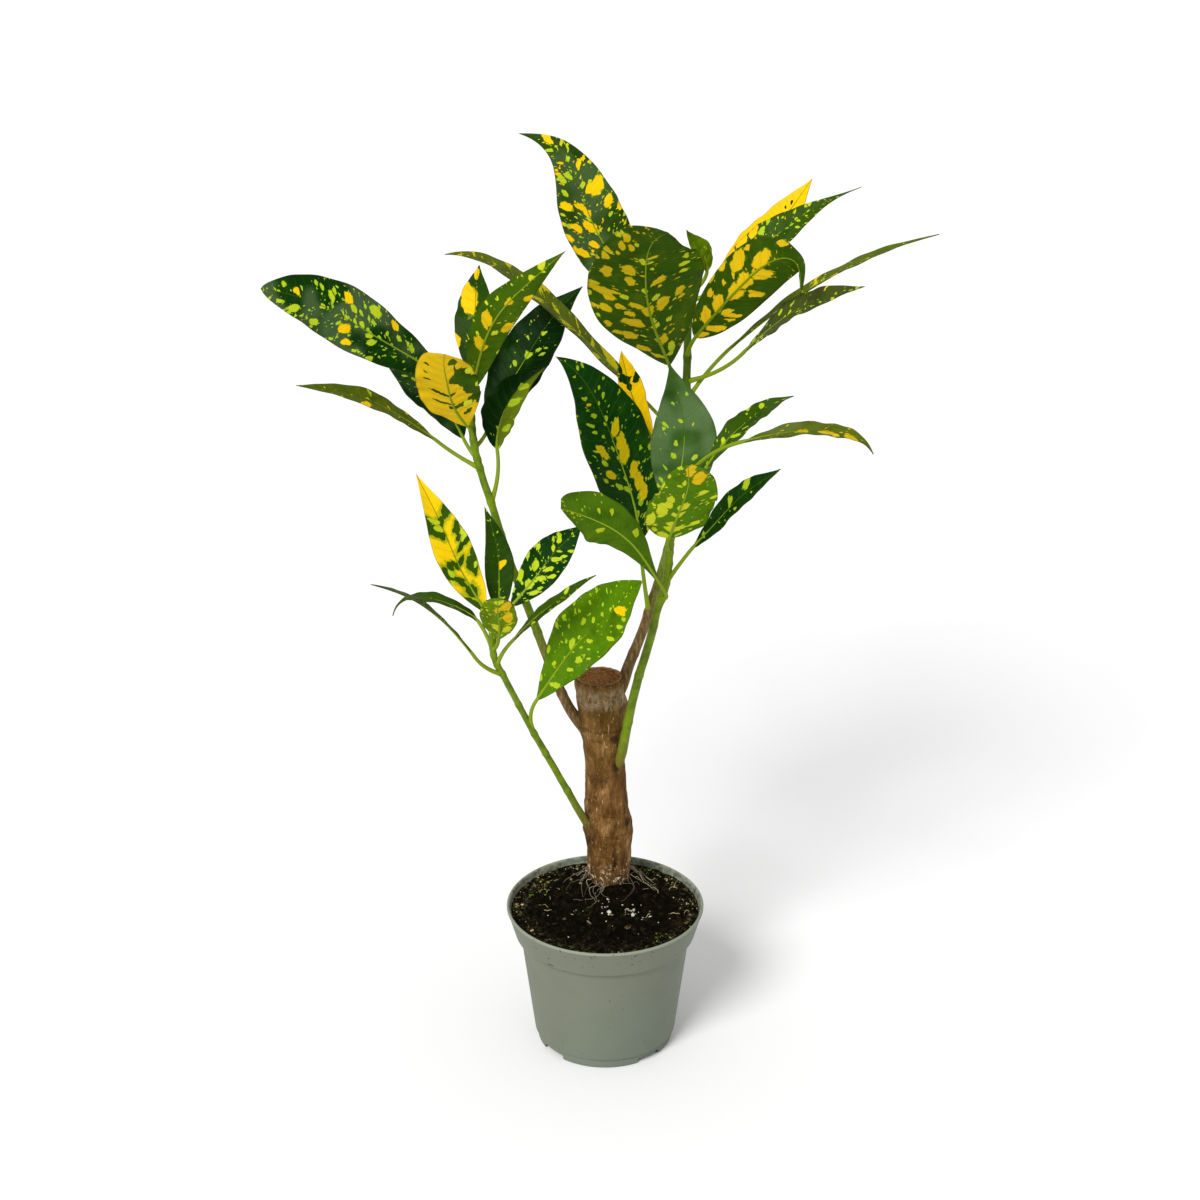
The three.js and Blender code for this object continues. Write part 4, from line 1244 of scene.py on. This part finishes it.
class LeafForm:
    """The form of one leaf, in metres: a thin waved blade on a stalk that runs on as the midrib."""

    STEPS = 40

    def __init__(self, leaf, side, seed, settings):
        root = CURVES[side].at_height(leaf.joint * MM)
        self.petiole, self.blade, self.axes = leaf_path(leaf, root)
        self.leaf = leaf
        self.thickness = settings.blade_thickness
        self.width = leaf.width * MM
        self.fold = math.radians(leaf.fold)
        line = [bowed(self.blade, i / self.STEPS) for i in range(self.STEPS + 1)]
        self.length = sum((end - start).length for start, end in zip(line, line[1:]))
        stalk = (self.petiole[0] - self.petiole[-1]).length
        self.stalk_share = stalk / (stalk + self.length)
        dice = random.Random(seed)
        self.phases = [dice.uniform(0, 2 * math.pi) for _ in range(4)]

    def sway(self, t):
        """How far the midrib strays to the side at a share of the blade's length."""
        wave = math.sin(2 * math.pi * t + self.phases[3])
        return BLADE["sway"] * self.length * wave * t * (1 - t) * 4

    def blade_point(self, u, t):
        """A point of the blade, and its distance from the midrib. u runs from -1 to 1 across the
        blade and t from 0 to 1 along it."""
        reach = self.width / 2 * outline(t, self.leaf.belly, self.leaf.taper)
        opened = min(1, t * 6)
        side, face = self.axes(self.blade, t)
        crease = math.sqrt(u * u + BLADE["crease"]) - math.sqrt(BLADE["crease"])
        ahead = BLADE["edge_shift"] if u > 0 else 0
        ripple = math.sin(2 * math.pi * (BLADE["waves"] * t + ahead))
        start = self.phases[0 if u > 0 else 1]
        fine = math.sin(start + 2 * math.pi * BLADE["ripples"] * t + math.sin(9 * t + self.phases[2]))
        slow = reach / self.width * 2
        lift = crease * reach * math.sin(self.fold) * opened
        lift += BLADE["wave"] * ripple * u * u * reach
        broad = min(1, self.leaf.width / BLADE["ripple_width"])
        lift += BLADE["ripple"] * MM * fine * abs(u) ** 3 * slow * broad
        across = u * reach
        climb = (t * self.length - abs(across) * BLADE["vein_climb"]) / (BLADE["vein_spacing"] * MM)
        plump = math.cos(2 * math.pi * climb) * min(1, abs(u) * 4) * (1 - u ** 4)
        lift += BLADE["quilt"] * MM * plump * slow
        out = across * (1 - (1 - math.cos(self.fold)) * opened) + self.sway(t)
        return bowed(self.blade, t) + side * out + face * lift, across

    def grow_blade(self, bm, growth, place):
        """The blade: a sheet with its upper face up, and then its thickness."""
        columns = 2 * max(7, round(self.leaf.width / 1.5))
        rows = max(48, round(self.length / MM))
        sheet = bmesh.ops.create_grid(bm, x_segments=columns, y_segments=rows, size=0.5)["verts"]
        for vertex in sheet:
            u = vertex.co.x * 2
            t = vertex.co.y + 0.5
            vertex.co, across = self.blade_point(u, t)
            vertex[growth] = (across / MM, t * self.length / MM, 1)
            vertex[place] = (u, t, 0)
        bmesh.ops.remove_doubles(bm, verts=sheet, dist=WELD)
        faces = bm.faces[:]
        bmesh.ops.recalc_face_normals(bm, faces=faces)
        centre = bowed(self.blade, 0.5)
        middle_face = min(faces, key=lambda face: (face.calc_center_median() - centre).length)
        _, up = self.axes(self.blade, 0.5)
        if middle_face.normal.dot(up) < 0:
            bmesh.ops.reverse_faces(bm, faces=faces)
        upper = set(bm.verts)
        bmesh.ops.solidify(bm, geom=faces, thickness=self.thickness)
        for vertex in grown_since(bm, upper):
            across, along, _ = vertex[growth]
            vertex[growth] = (across, along, 0)

    def stalk_curve(self, share):
        """The curve that the stalk follows at a share of its way, and the share of that curve."""
        if share < self.stalk_share:
            return self.petiole, share / self.stalk_share
        return self.blade, (share - self.stalk_share) / (1 - self.stalk_share)

    def grow_stalk(self, bm, growth, place):
        """The petiole and the midrib under the blade, in one."""
        rib = BLADE["midrib_radius"] * MM
        thick = BLADE["petiole_radius"] * MM

        def middle(share):
            curve, t = self.stalk_curve(share)
            if curve is self.petiole:
                return bowed(curve, t)
            side, face = self.axes(curve, t)
            sunk = self.thickness * BLADE["sunk"] * min(1, t * 8)
            return bowed(curve, t) + side * self.sway(t) - face * sunk

        def stalk_axes(share):
            return self.axes(*self.stalk_curve(share))

        def radius(share, turn):
            if share <= 0 or share >= 1:
                return 0
            curve, t = self.stalk_curve(share)
            if curve is self.petiole:
                flare = 1 + BLADE["flare"] * math.exp(-t * 9)
                return mixed(thick * flare, rib * 1.3, smooth_step(0, 1, t))
            return mixed(rib * 1.3, rib * 0.16, t ** 0.7)

        known = set(bm.verts)
        tube(bm, 10, 64, middle, stalk_axes, radius)
        for vertex in grown_since(bm, known):
            vertex[growth] = (0, 0, 0)
            vertex[place] = (0, 0, 1)


class CROTON_OT_leaves(bpy.types.Operator):
    """Model every leaf with its petiole"""
    bl_idname = "croton.leaves"
    bl_label = "Leaves"

    def execute(self, context):
        settings = context.scene.croton_plant
        for number, (side, rows) in enumerate(LEAVES.items()):
            for i, leaf in enumerate(rows):
                self.grow(leaf, side, f"{side}_{i + 1}", 101 * number + 7 * i + 5, settings)
        return {"FINISHED"}

    def grow(self, leaf, side, label, seed, settings):
        bm = bmesh.new()
        growth = bm.verts.layers.float_vector.new("growth")
        place = bm.verts.layers.float_vector.new("blade")
        form = LeafForm(leaf, side, seed, settings)
        form.grow_blade(bm, growth, place)
        form.grow_stalk(bm, growth, place)
        name = "croton_leaf_" + label
        look = {**PLAIN_LOOK, **LOOKS[label]}
        material = leaf_paint(name, look, seed % 97 * 1.37, settings)
        piece(bm, name, "leaf_" + label, material)


class CROTON_OT_stems(bpy.types.Operator):
    """Model the green shoots, with their swellings and old leaf scars"""
    bl_idname = "croton.stems"
    bl_label = "Stems"

    JOINT_SWELL = 0.28
    SCAR_SWELL = 0.22
    SWELL_REACH = 1.3
    FOOT_FLARE = 0.55
    ROUND_TIP = 0.035

    def execute(self, context):
        settings = context.scene.croton_plant
        for side, shoot in SHOOTS.items():
            curve = CURVES[side]
            knots = [(leaf.joint, self.JOINT_SWELL) for leaf in LEAVES[side]]
            knots += [(scar, self.SCAR_SWELL) for scar in shoot.scars]
            knots = [(curve.share_at(height * MM), swell) for height, swell in knots]
            total = curve.walked[-1]

            def radius(share, turn):
                if share <= 0 or share >= 1:
                    return 0
                slim = mixed(shoot.foot, shoot.top, math.sqrt(share)) * MM
                grown = slim * (1 + self.FOOT_FLARE * math.exp(-share * 14))
                for knot, swell in knots:
                    off = (share - knot) * total / MM
                    grown += swell * MM * math.exp(-(off / self.SWELL_REACH) ** 2)
                ridge = 0.05 * math.sin(5 * turn + share * 30) + 0.04 * math.sin(3 * turn - share * 55)
                past = max(0, (share - 1 + self.ROUND_TIP) / self.ROUND_TIP)
                bud = math.sqrt(max(0, 1 - past ** 2))
                return (grown + ridge * MM) * bud

            bm = bmesh.new()
            tube(bm, 16, 180, curve.at, curve.axes, radius)
            material = stem_paint("stem_skin_" + side, shoot, settings)
            piece(bm, "croton_stem_" + side, "stem_" + side, material)
        return {"FINISHED"}


class CROTON_OT_trunk(bpy.types.Operator):
    """Model the barked trunk with its cut top"""
    bl_idname = "croton.trunk"
    bl_label = "Trunk"

    # Swellings: the turn of each in degrees, and its height, growth and spread in millimetres.
    KNOBS = [
        (20, 103, 1.3, 3.2), (200, 101, 1.5, 4.2), (-75, 133, 1.3, 4.5), (186, 152, 1.6, 5),
        (8, 163, 1.7, 5), (-110, 118, 0.7, 3), (120, 128, 1.1, 3.5), (75, 92, 1.0, 4), (-60, 93, 0.6, 2.5),
    ]

    def relief(self, turn, height, radius):
        """How far the bark stands out, in millimetres, at a height in millimetres."""
        bark = Vector((math.cos(turn) * 1.6, math.sin(turn) * 1.6, height * 0.028))
        rough = noise.fractal(bark * 1.7, 0.9, 2.1, 4) * 0.42
        crack = abs(noise.noise(Vector((math.cos(turn) * 4.5, math.sin(turn) * 4.5, height * 0.05))))
        groove = -0.34 * smooth_step(0.12, 0.0, crack)
        band = 0.18 * noise.noise(Vector((math.cos(turn), math.sin(turn), height * 0.35)))
        knob = 0
        for degrees, level, grown, spread in self.KNOBS:
            off = math.degrees((turn - math.radians(degrees) + math.pi) % (2 * math.pi) - math.pi)
            arc = off * math.radians(1) * radius / MM
            knob += grown * math.exp(-(arc * arc + (height - level) ** 2) / spread ** 2 * 1.6)
        return rough + groove + band + knob

    def cut_height(self, turn, away, inner):
        """Height of the cut top in millimetres: dished, rounded at the rim and rough from the saw."""
        lip = (TRUNK[-1][3] - CUT_RIM) / TRUNK[-1][3]
        dip = CUT_DISH * smooth_step(lip + 0.02, lip - 0.22, inner)
        spot = (math.cos(turn) * away / MM * 0.35, math.sin(turn) * away / MM * 0.35, 9)
        chop = 0.5 * noise.noise(Vector(spot))
        tip = 0.5 * smooth_step(1.0, 0.93, inner)
        return TRUNK[-1][0] - CUT_EDGE + tip * 1.1 - dip + chop * (1 - inner ** 6)

    def execute(self, context):
        settings = context.scene.croton_plant
        foot, head = TRUNK[0][0], TRUNK[-1][0]
        head_radius = TRUNK[-1][3]
        side_rows = 0.86

        def at(turn, share):
            height = mixed(foot, head - CUT_EDGE, share / side_rows) if share < side_rows else head
            centre, radius = trunk_at(height)
            grown = radius + self.relief(turn, height, radius) * MM
            if share <= 0:
                return Vector((centre.x, centre.y, foot * MM))
            inner = 1 - (share - side_rows) / (1 - side_rows)
            if inner >= 1:
                return ring_point(centre, turn, grown, height * MM)
            away = grown * inner
            return ring_point(centre, turn, away, self.cut_height(turn, away, inner) * MM)

        bm = bmesh.new()
        skin(bm, 112, 230, at)
        trunk = piece(bm, "croton_trunk", "trunk", bark_paint(settings))
        trunk.data.materials.append(wood_paint())
        head_centre, _ = trunk_at(head)
        for face in trunk.data.polygons:
            off = face.center - head_centre
            high = face.center.z > (head - CUT_WOOD_DEPTH) * MM
            inside = math.hypot(off.x, off.y) < (head_radius - CUT_WOOD_INSET) * MM
            if high and inside and face.normal.z > 0.3:
                face.material_index = 1
        return {"FINISHED"}


def strew(name, material, count, where, shape, dice):
    """A piece of small bodies, each of its own tone: where gives a place, shape grows one there."""
    bm = bmesh.new()
    tone = bm.verts.layers.float_vector.new("tone")
    for _ in range(count):
        made = shape(bm, where(dice), dice)
        shade = dice.random()
        for vertex in made:
            vertex[tone] = (shade, 0, 0)
    piece(bm, name, None, material)


def on_soil(dice):
    """A point on the soil's surface, off the trunk."""
    centre, _ = trunk_at(SOIL["level"])
    while True:
        angle = dice.uniform(0, 2 * math.pi)
        away = SOIL["crumb_reach"] * math.sqrt(dice.random()) * MM
        x, y = away * math.cos(angle), away * math.sin(angle)
        if math.hypot(x - centre.x, y - centre.y) > SOIL["trunk_gap"] * MM:
            return Vector((x, y, soil_height(x, y)))


def kept_in(x, y, reach):
    """A place in metres, drawn in to a distance in millimetres from the pot's middle."""
    limit = reach * MM
    off = math.hypot(x, y)
    return (x * limit / off, y * limit / off) if off > limit else (x, y)


def thread(bm, along, middle, gap, radius):
    """A thread that lies on the soil, of so many pieces along its middle line; returns its points."""
    def axes(share):
        heading = (middle(min(1, share + gap)) - middle(max(0, share - gap))).normalized()
        across = heading.cross(Vector((0, 0, 1))).normalized()
        return across, across.cross(heading)

    known = set(bm.verts)
    tube(bm, 5, along, middle, axes, lambda share, turn: 0 if share in (0, 1) else radius(share))
    return grown_since(bm, known)


def near(places, spread):
    """A maker of points on the soil's surface, strewn round some places, in millimetres."""
    def where(dice):
        x, y = dice.choice(places)
        x = (x + dice.gauss(0, spread)) * MM
        y = (y + dice.gauss(0, spread)) * MM
        x, y = kept_in(x, y, SOIL["litter_reach"])
        return Vector((x, y, soil_height(x, y)))
    return where


def crumb(low, high, flat=0.7, rounds=1):
    """A maker of rough little lumps of a size range, in millimetres."""
    def grow(bm, place, dice):
        size = mixed(low, high, dice.random() ** 2.2) * MM
        turn = Matrix.Rotation(dice.uniform(0, 6.28), 4, "Z")
        turn @= Matrix.Rotation(dice.uniform(-0.9, 0.9), 4, "X")
        wide, deep, tall = dice.uniform(0.7, 1.5), dice.uniform(0.6, 1.1), dice.uniform(0.5, 1) * flat
        form = Matrix.Diagonal((wide, deep, tall, 1))
        made = bmesh.ops.create_icosphere(bm, subdivisions=rounds, radius=size / 2)["verts"]
        shift = Vector((dice.random(), dice.random(), dice.random())) * 9
        for vertex in made:
            vertex.co *= 1 + 0.45 * noise.noise(vertex.co / size * 2.4 + shift)
        bmesh.ops.transform(bm, matrix=Matrix.Translation(place) @ turn @ form, verts=made)
        return made
    return grow


def strand(length, thick, bulge):
    """A maker of bits of straw, of a length and thickness, whose middle stands off the soil, all in
    millimetres."""
    def grow(bm, place, dice):
        reach = length * dice.uniform(0.5, 1.2) * MM
        aim = dice.uniform(0, 2 * math.pi)
        bend = dice.uniform(-1.2, 1.2)
        radius = thick / 2 * dice.uniform(0.7, 1.2) * MM

        def middle(share):
            angle = aim + bend * share
            x = place.x + math.cos(angle) * reach * (share - 0.5)
            y = place.y + math.sin(angle) * reach * (share - 0.5)
            x, y = kept_in(x, y, SOIL["thread_reach"])
            return Vector((x, y, soil_height(x, y) + radius + bulge * MM * math.sin(math.pi * share)))

        return thread(bm, 10, middle, 0.05, lambda share: radius)
    return grow


class CROTON_OT_soil(bpy.types.Operator):
    """Model the potting soil with its crumbs, perlite, bark, roots, moss and straw"""
    bl_idname = "croton.soil"
    bl_label = "Soil"

    ROOTS = 38
    ROOT_LEVEL = 74

    def execute(self, context):
        self.body()
        self.litter()
        self.roots()
        return {"FINISHED"}

    def body(self):
        edge = SOIL["edge_radius"] * MM
        bottom = SOIL["bottom"] * MM
        wall_rows = 0.12
        foot = (POT["wall_foot_radius"] - SOIL["inset"]) * MM
        top = (POT["wall_top_radius"] - SOIL["inset"]) * MM
        shoulder = POT["band_foot"] - 2

        def at(turn, share):
            if share <= 0:
                return Vector((0, 0, bottom))
            if share < wall_rows:
                rise = share / wall_rows
                height = mixed(bottom, SOIL["level"] * MM, max(0, rise - 0.1) / 0.9)
                full = mixed(foot, top, min(1, height / (shoulder * MM)))
                if height > shoulder * MM:
                    full = mixed(top, edge, (height / MM - shoulder) / (SOIL["level"] - shoulder))
                return ring_point(Vector(), turn, full, height)
            away = edge * (1 - (share - wall_rows) / (1 - wall_rows))
            x, y = math.cos(turn) * away, math.sin(turn) * away
            return Vector((x, y, soil_height(x, y)))

        bm = bmesh.new()
        skin(bm, 230, 128, at)
        piece(bm, "croton_soil", "soil", soil_paint())

    def litter(self):
        dice = random.Random(41)
        brown = toned_paint("crumb_peat", srgb(6, 4, 2), srgb(38, 29, 17), 0.85, 900, 0.0004)
        white = toned_paint("crumb_perlite", srgb(140, 134, 112), srgb(222, 216, 196), 0.8, 1500, 0.0002)
        bark = toned_paint("bark_chip", srgb(66, 48, 26), srgb(150, 124, 84), 0.75, 700, 0.0004)
        straw = toned_paint("straw", srgb(120, 104, 62), srgb(196, 184, 132), 0.6, 900, 0.0002)
        moss = toned_paint("moss", srgb(44, 60, 10), srgb(140, 170, 34), 0.8, 1200, 0.0003)
        rim_turns = (-35, -20, 0, 12, 25, 38, 55, 70, 110, 130, 145, 160, 172, 185, 205)
        turns = [math.radians(turn) for turn in rim_turns]
        rim = [(39 * math.cos(turn), 39 * math.sin(turn)) for turn in turns]
        front = [
            (-14, -5), (-11.5, -4), (0, -3.5), (1.5, -5.5), (9, -5), (11, -4), (12.5, -6), (18, -8),
            (20, -6),
        ]
        strawy = [(24, 20), (27, 14), (-24, 20), (-30, 8), (30, -6)]
        mossy = [(26, -26), (-27, 24), (-29, 20), (-33, 12), (20, 34)]

        rows = [
            ("soil_crumbs", brown, 560, on_soil, crumb(0.8, 3.4)),
            ("soil_fines", white, 44, on_soil, crumb(0.3, 1.1)),
            ("perlite", white, 44, near(front, 1.3), crumb(0.6, 2.0, rounds=2)),
            ("bark_chips", bark, 7, on_soil, crumb(1.8, 4.4, flat=0.45, rounds=2)),
            ("straw_bits", straw, 22, near(strawy, 5), strand(5, 0.3, 0.4)),
            ("rim_litter", straw, 105, near(rim, 2.4), crumb(0.5, 1.9, flat=0.6)),
            ("moss_tufts", moss, 90, near(mossy, 2.2), crumb(0.6, 1.6)),
        ]
        for row in rows:
            strew(*row, dice)

    def roots(self):
        """Fine pale roots that run down the mound from the trunk's foot."""
        centre, radius = trunk_at(self.ROOT_LEVEL)

        def root(bm, place, dice):
            angle = dice.uniform(0, 2 * math.pi)
            length = dice.uniform(3, 13) * MM
            thick = dice.uniform(0.08, 0.2) * MM
            wander = [dice.uniform(-0.9, 0.9), dice.uniform(0, 6.28), dice.uniform(2, 8)]

            def middle(share):
                turn = angle + wander[0] * share + 0.12 * math.sin(wander[1] + wander[2] * share)
                away = radius + 0.4 * MM + length * share
                x = place.x + math.cos(turn) * away
                y = place.y + math.sin(turn) * away
                clear = (0.5 + 1.3 * math.sin(math.pi * share)) * MM * 0.5
                return Vector((x, y, soil_height(x, y) + clear + (1 - share) ** 4 * 2.4 * MM))

            return thread(bm, 16, middle, 0.04, lambda share: thick * (1.1 - share * 0.7))

        pale = toned_paint("root_thread", srgb(84, 72, 50), srgb(200, 188, 158), 0.6, 900, 0.0001)
        strew("root_threads", pale, self.ROOTS, lambda dice: centre, root, random.Random(19))


class CROTON_OT_pot(bpy.types.Operator):
    """Model the moulded nursery pot with its rim band and drain notches"""
    bl_idname = "croton.pot"
    bl_label = "Pot"

    STEPS = 160
    SHARP = 40

    def execute(self, context):
        settings = context.scene.croton_pot
        wall = settings.wall / MM
        rim = settings.rim_radius / MM
        height = settings.height / MM
        foot = POT["foot_radius"]
        outside = [
            (0, POT["recess_height"]), (POT["recess_radius"], POT["recess_height"]),
            (POT["recess_radius"] + 0.6, 0), (foot - 0.4, 0), (foot, 0.5),
            (foot + 0.2, POT["wall_foot"] - 0.7), (POT["wall_foot_radius"], POT["wall_foot"]),
            (POT["wall_top_radius"], POT["band_foot"] - 0.8),
            (POT["band_foot_radius"] - 0.3, POT["band_foot"]),
            (POT["band_foot_radius"], POT["band_foot"] + 0.6), (rim - 0.4, height - 1.6),
            (rim, height - 1.2), (rim, height - 0.5), (rim - 0.5, height), (rim - wall + 0.5, height),
        ]
        inside = [
            (rim - wall, height - 0.5), (POT["band_foot_radius"] - wall, POT["band_foot"] + 1),
            (POT["wall_top_radius"] - wall, POT["band_foot"] - 2),
            (POT["wall_foot_radius"] - wall, POT["floor_top"]), (0, POT["floor_top"]),
        ]
        bm = bmesh.new()
        line = [bm.verts.new((radius * MM, 0, level * MM)) for radius, level in outside + inside]
        edges = [bm.edges.new(pair) for pair in zip(line, line[1:])]
        bmesh.ops.spin(
            bm, geom=line + edges, cent=(0, 0, 0), axis=(0, 0, 1), angle=2 * math.pi,
            steps=self.STEPS, use_merge=True)
        bmesh.ops.remove_doubles(bm, verts=bm.verts[:], dist=WELD)
        bmesh.ops.recalc_face_normals(bm, faces=bm.faces[:])
        sharp = [
            edge for edge in bm.edges
            if len(edge.link_faces) == 2 and edge.calc_face_angle(0) > math.radians(14)
        ]
        bmesh.ops.bevel(
            bm, geom=sharp, offset=0.22 * MM, offset_type="OFFSET", segments=2, profile=0.5,
            affect="EDGES", material=-1, clamp_overlap=True)
        pot = piece(bm, "croton_pot", "pot", plastic_paint(settings), self.SHARP)
        self.cut_notches(pot)
        return {"FINISHED"}

    def cut_notches(self, pot):
        """Cuts each drain notch through the foot ring, and its slot through the floor."""
        bm = bmesh.new()
        reach = POT["foot_radius"] + 4 - (POT["recess_radius"] - POT["slot_depth"])
        for i in range(POT["notches"]):
            turn = Matrix.Rotation(math.radians(POT["notch_first"] + 360 / POT["notches"] * i), 4, "Z")
            boxes = [
                ((reach, POT["notch_width"], 2 * POT["notch_height"]), POT["foot_radius"] + 4 - reach / 2),
                ((POT["slot_depth"], POT["notch_width"] - 3, 4 * POT["floor_top"]),
                 POT["recess_radius"] - POT["slot_depth"] / 2),
            ]
            for size, out in boxes:
                form = Matrix.Diagonal([length * MM for length in size] + [1])
                move = Matrix.Translation((out * MM, 0, 0))
                made = bmesh.ops.create_cube(bm, size=1, matrix=turn @ move @ form)["verts"]
                if size[1] == POT["notch_width"]:
                    edges = {edge for vertex in made for edge in vertex.link_edges}
                    long_edges = [edge for edge in edges if abs(edge.calc_length() - reach * MM) < WELD]
                    bmesh.ops.bevel(
                        bm, geom=long_edges, offset=1.2 * MM, offset_type="OFFSET", segments=4, profile=0.5,
                        affect="EDGES", material=-1, clamp_overlap=True)
        mesh = mesh_of(bm, "notch_cutter")
        cutter = added("notch_cutter", mesh)
        carve = pot.modifiers.new("notches", "BOOLEAN")
        carve.operation = "DIFFERENCE"
        carve.solver = "EXACT"
        carve.use_self = True
        carve.object = cutter
        bpy.context.view_layer.update()
        carved = bpy.data.meshes.new_from_object(pot.evaluated_get(bpy.context.evaluated_depsgraph_get()))
        pot.modifiers.clear()
        pot.data = carved
        bpy.data.objects.remove(cutter)
        bpy.data.meshes.remove(mesh)
        carved.set_sharp_from_angle(angle=math.radians(self.SHARP))


class CROTON_OT_stage(bpy.types.Operator):
    """Set up the pale floor, the soft studio light and the camera"""
    bl_idname = "croton.stage"
    bl_label = "Stage"

    FLOOR_RADIUS = 14
    KEY_HEIGHT = math.radians(42)
    KEY_SIDE = math.radians(-30)
    KEY_SPREAD = 0.4
    CAMERA_PLACE = (-2.33 * MM, -877.3 * MM, 582 * MM)
    CAMERA_DIP = 22.51
    LENS = 66
    SENSOR = 36
    CLOSEST, FARTHEST = 0.01, 60

    def execute(self, context):
        settings = context.scene.croton_stage
        self.floor(settings)
        self.light(settings)
        self.camera(context)
        return {"FINISHED"}

    def floor(self, settings):
        bm = bmesh.new()
        bmesh.ops.create_circle(bm, cap_ends=True, segments=64, radius=self.FLOOR_RADIUS)
        floor = added("studio_floor", mesh_of(bm, "studio_floor"))
        colour = tuple(settings.floor)
        paint = Paint("studio_paper", Base_Color=colour, Roughness=0.9, Specular_IOR_Level=0.1)
        floor.data.materials.append(paint.material)

    def light(self, settings):
        world = bpy.data.worlds.new("studio_air")
        world.use_nodes = True
        air = world.node_tree.nodes["Background"]
        air.inputs["Color"].default_value = (1, 1, 1, 1)
        air.inputs["Strength"].default_value = settings.daylight
        bpy.context.scene.world = world
        lamp = bpy.data.lights.new("key_light", "SUN")
        lamp.angle = self.KEY_SPREAD
        lamp.energy = settings.key
        key = added("key_light", lamp)
        key.rotation_euler = (math.pi / 2 - self.KEY_HEIGHT, 0, self.KEY_SIDE)

    def camera(self, context):
        data = bpy.data.cameras.new("camera")
        data.lens = self.LENS
        data.sensor_width = self.SENSOR
        data.clip_start = self.CLOSEST
        data.clip_end = self.FARTHEST
        camera = added("camera", data)
        camera.location = self.CAMERA_PLACE
        camera.rotation_euler = (math.radians(90 - self.CAMERA_DIP), 0, 0)
        context.scene.camera = camera
        context.scene.view_settings.view_transform = "Standard"


class CROTON_PT_panel(bpy.types.Panel):
    """Lists the steps that make the potted croton, with their sizes and colours"""
    bl_idname = "CROTON_PT_panel"
    bl_label = "Potted Croton"
    bl_space_type = "VIEW_3D"
    bl_region_type = "UI"
    bl_category = "Croton"

    def draw(self, context):
        scene = context.scene
        groups = [
            (scene.croton_pot, ("croton.pot", "croton.soil")),
            (scene.croton_plant, ("croton.trunk", "croton.stems", "croton.leaves")),
            (scene.croton_stage, ("croton.stage",)),
        ]
        for settings, steps in groups:
            box = self.layout.box()
            for key in settings.bl_rna.properties.keys():
                if key not in ("rna_type", "name"):
                    box.prop(settings, key)
            for step in steps:
                box.operator(step)


GROUPS = {"croton_pot": PotSettings, "croton_plant": PlantSettings, "croton_stage": StageSettings}
STEPS = (
    CROTON_OT_pot,
    CROTON_OT_soil,
    CROTON_OT_trunk,
    CROTON_OT_stems,
    CROTON_OT_leaves,
    CROTON_OT_stage,
)


def register():
    for group in (*GROUPS.values(), *STEPS, CROTON_PT_panel):
        bpy.utils.register_class(group)
    for name, group in GROUPS.items():
        setattr(bpy.types.Scene, name, bpy.props.PointerProperty(type=group))


def unregister():
    for name in GROUPS:
        delattr(bpy.types.Scene, name)
    for group in (CROTON_PT_panel, *reversed(STEPS), *reversed(list(GROUPS.values()))):
        bpy.utils.unregister_class(group)


def main():
    register()
    for step in STEPS:
        area, call = step.bl_idname.split(".")
        getattr(getattr(bpy.ops, area), call)()


if __name__ == "__main__":
    main()
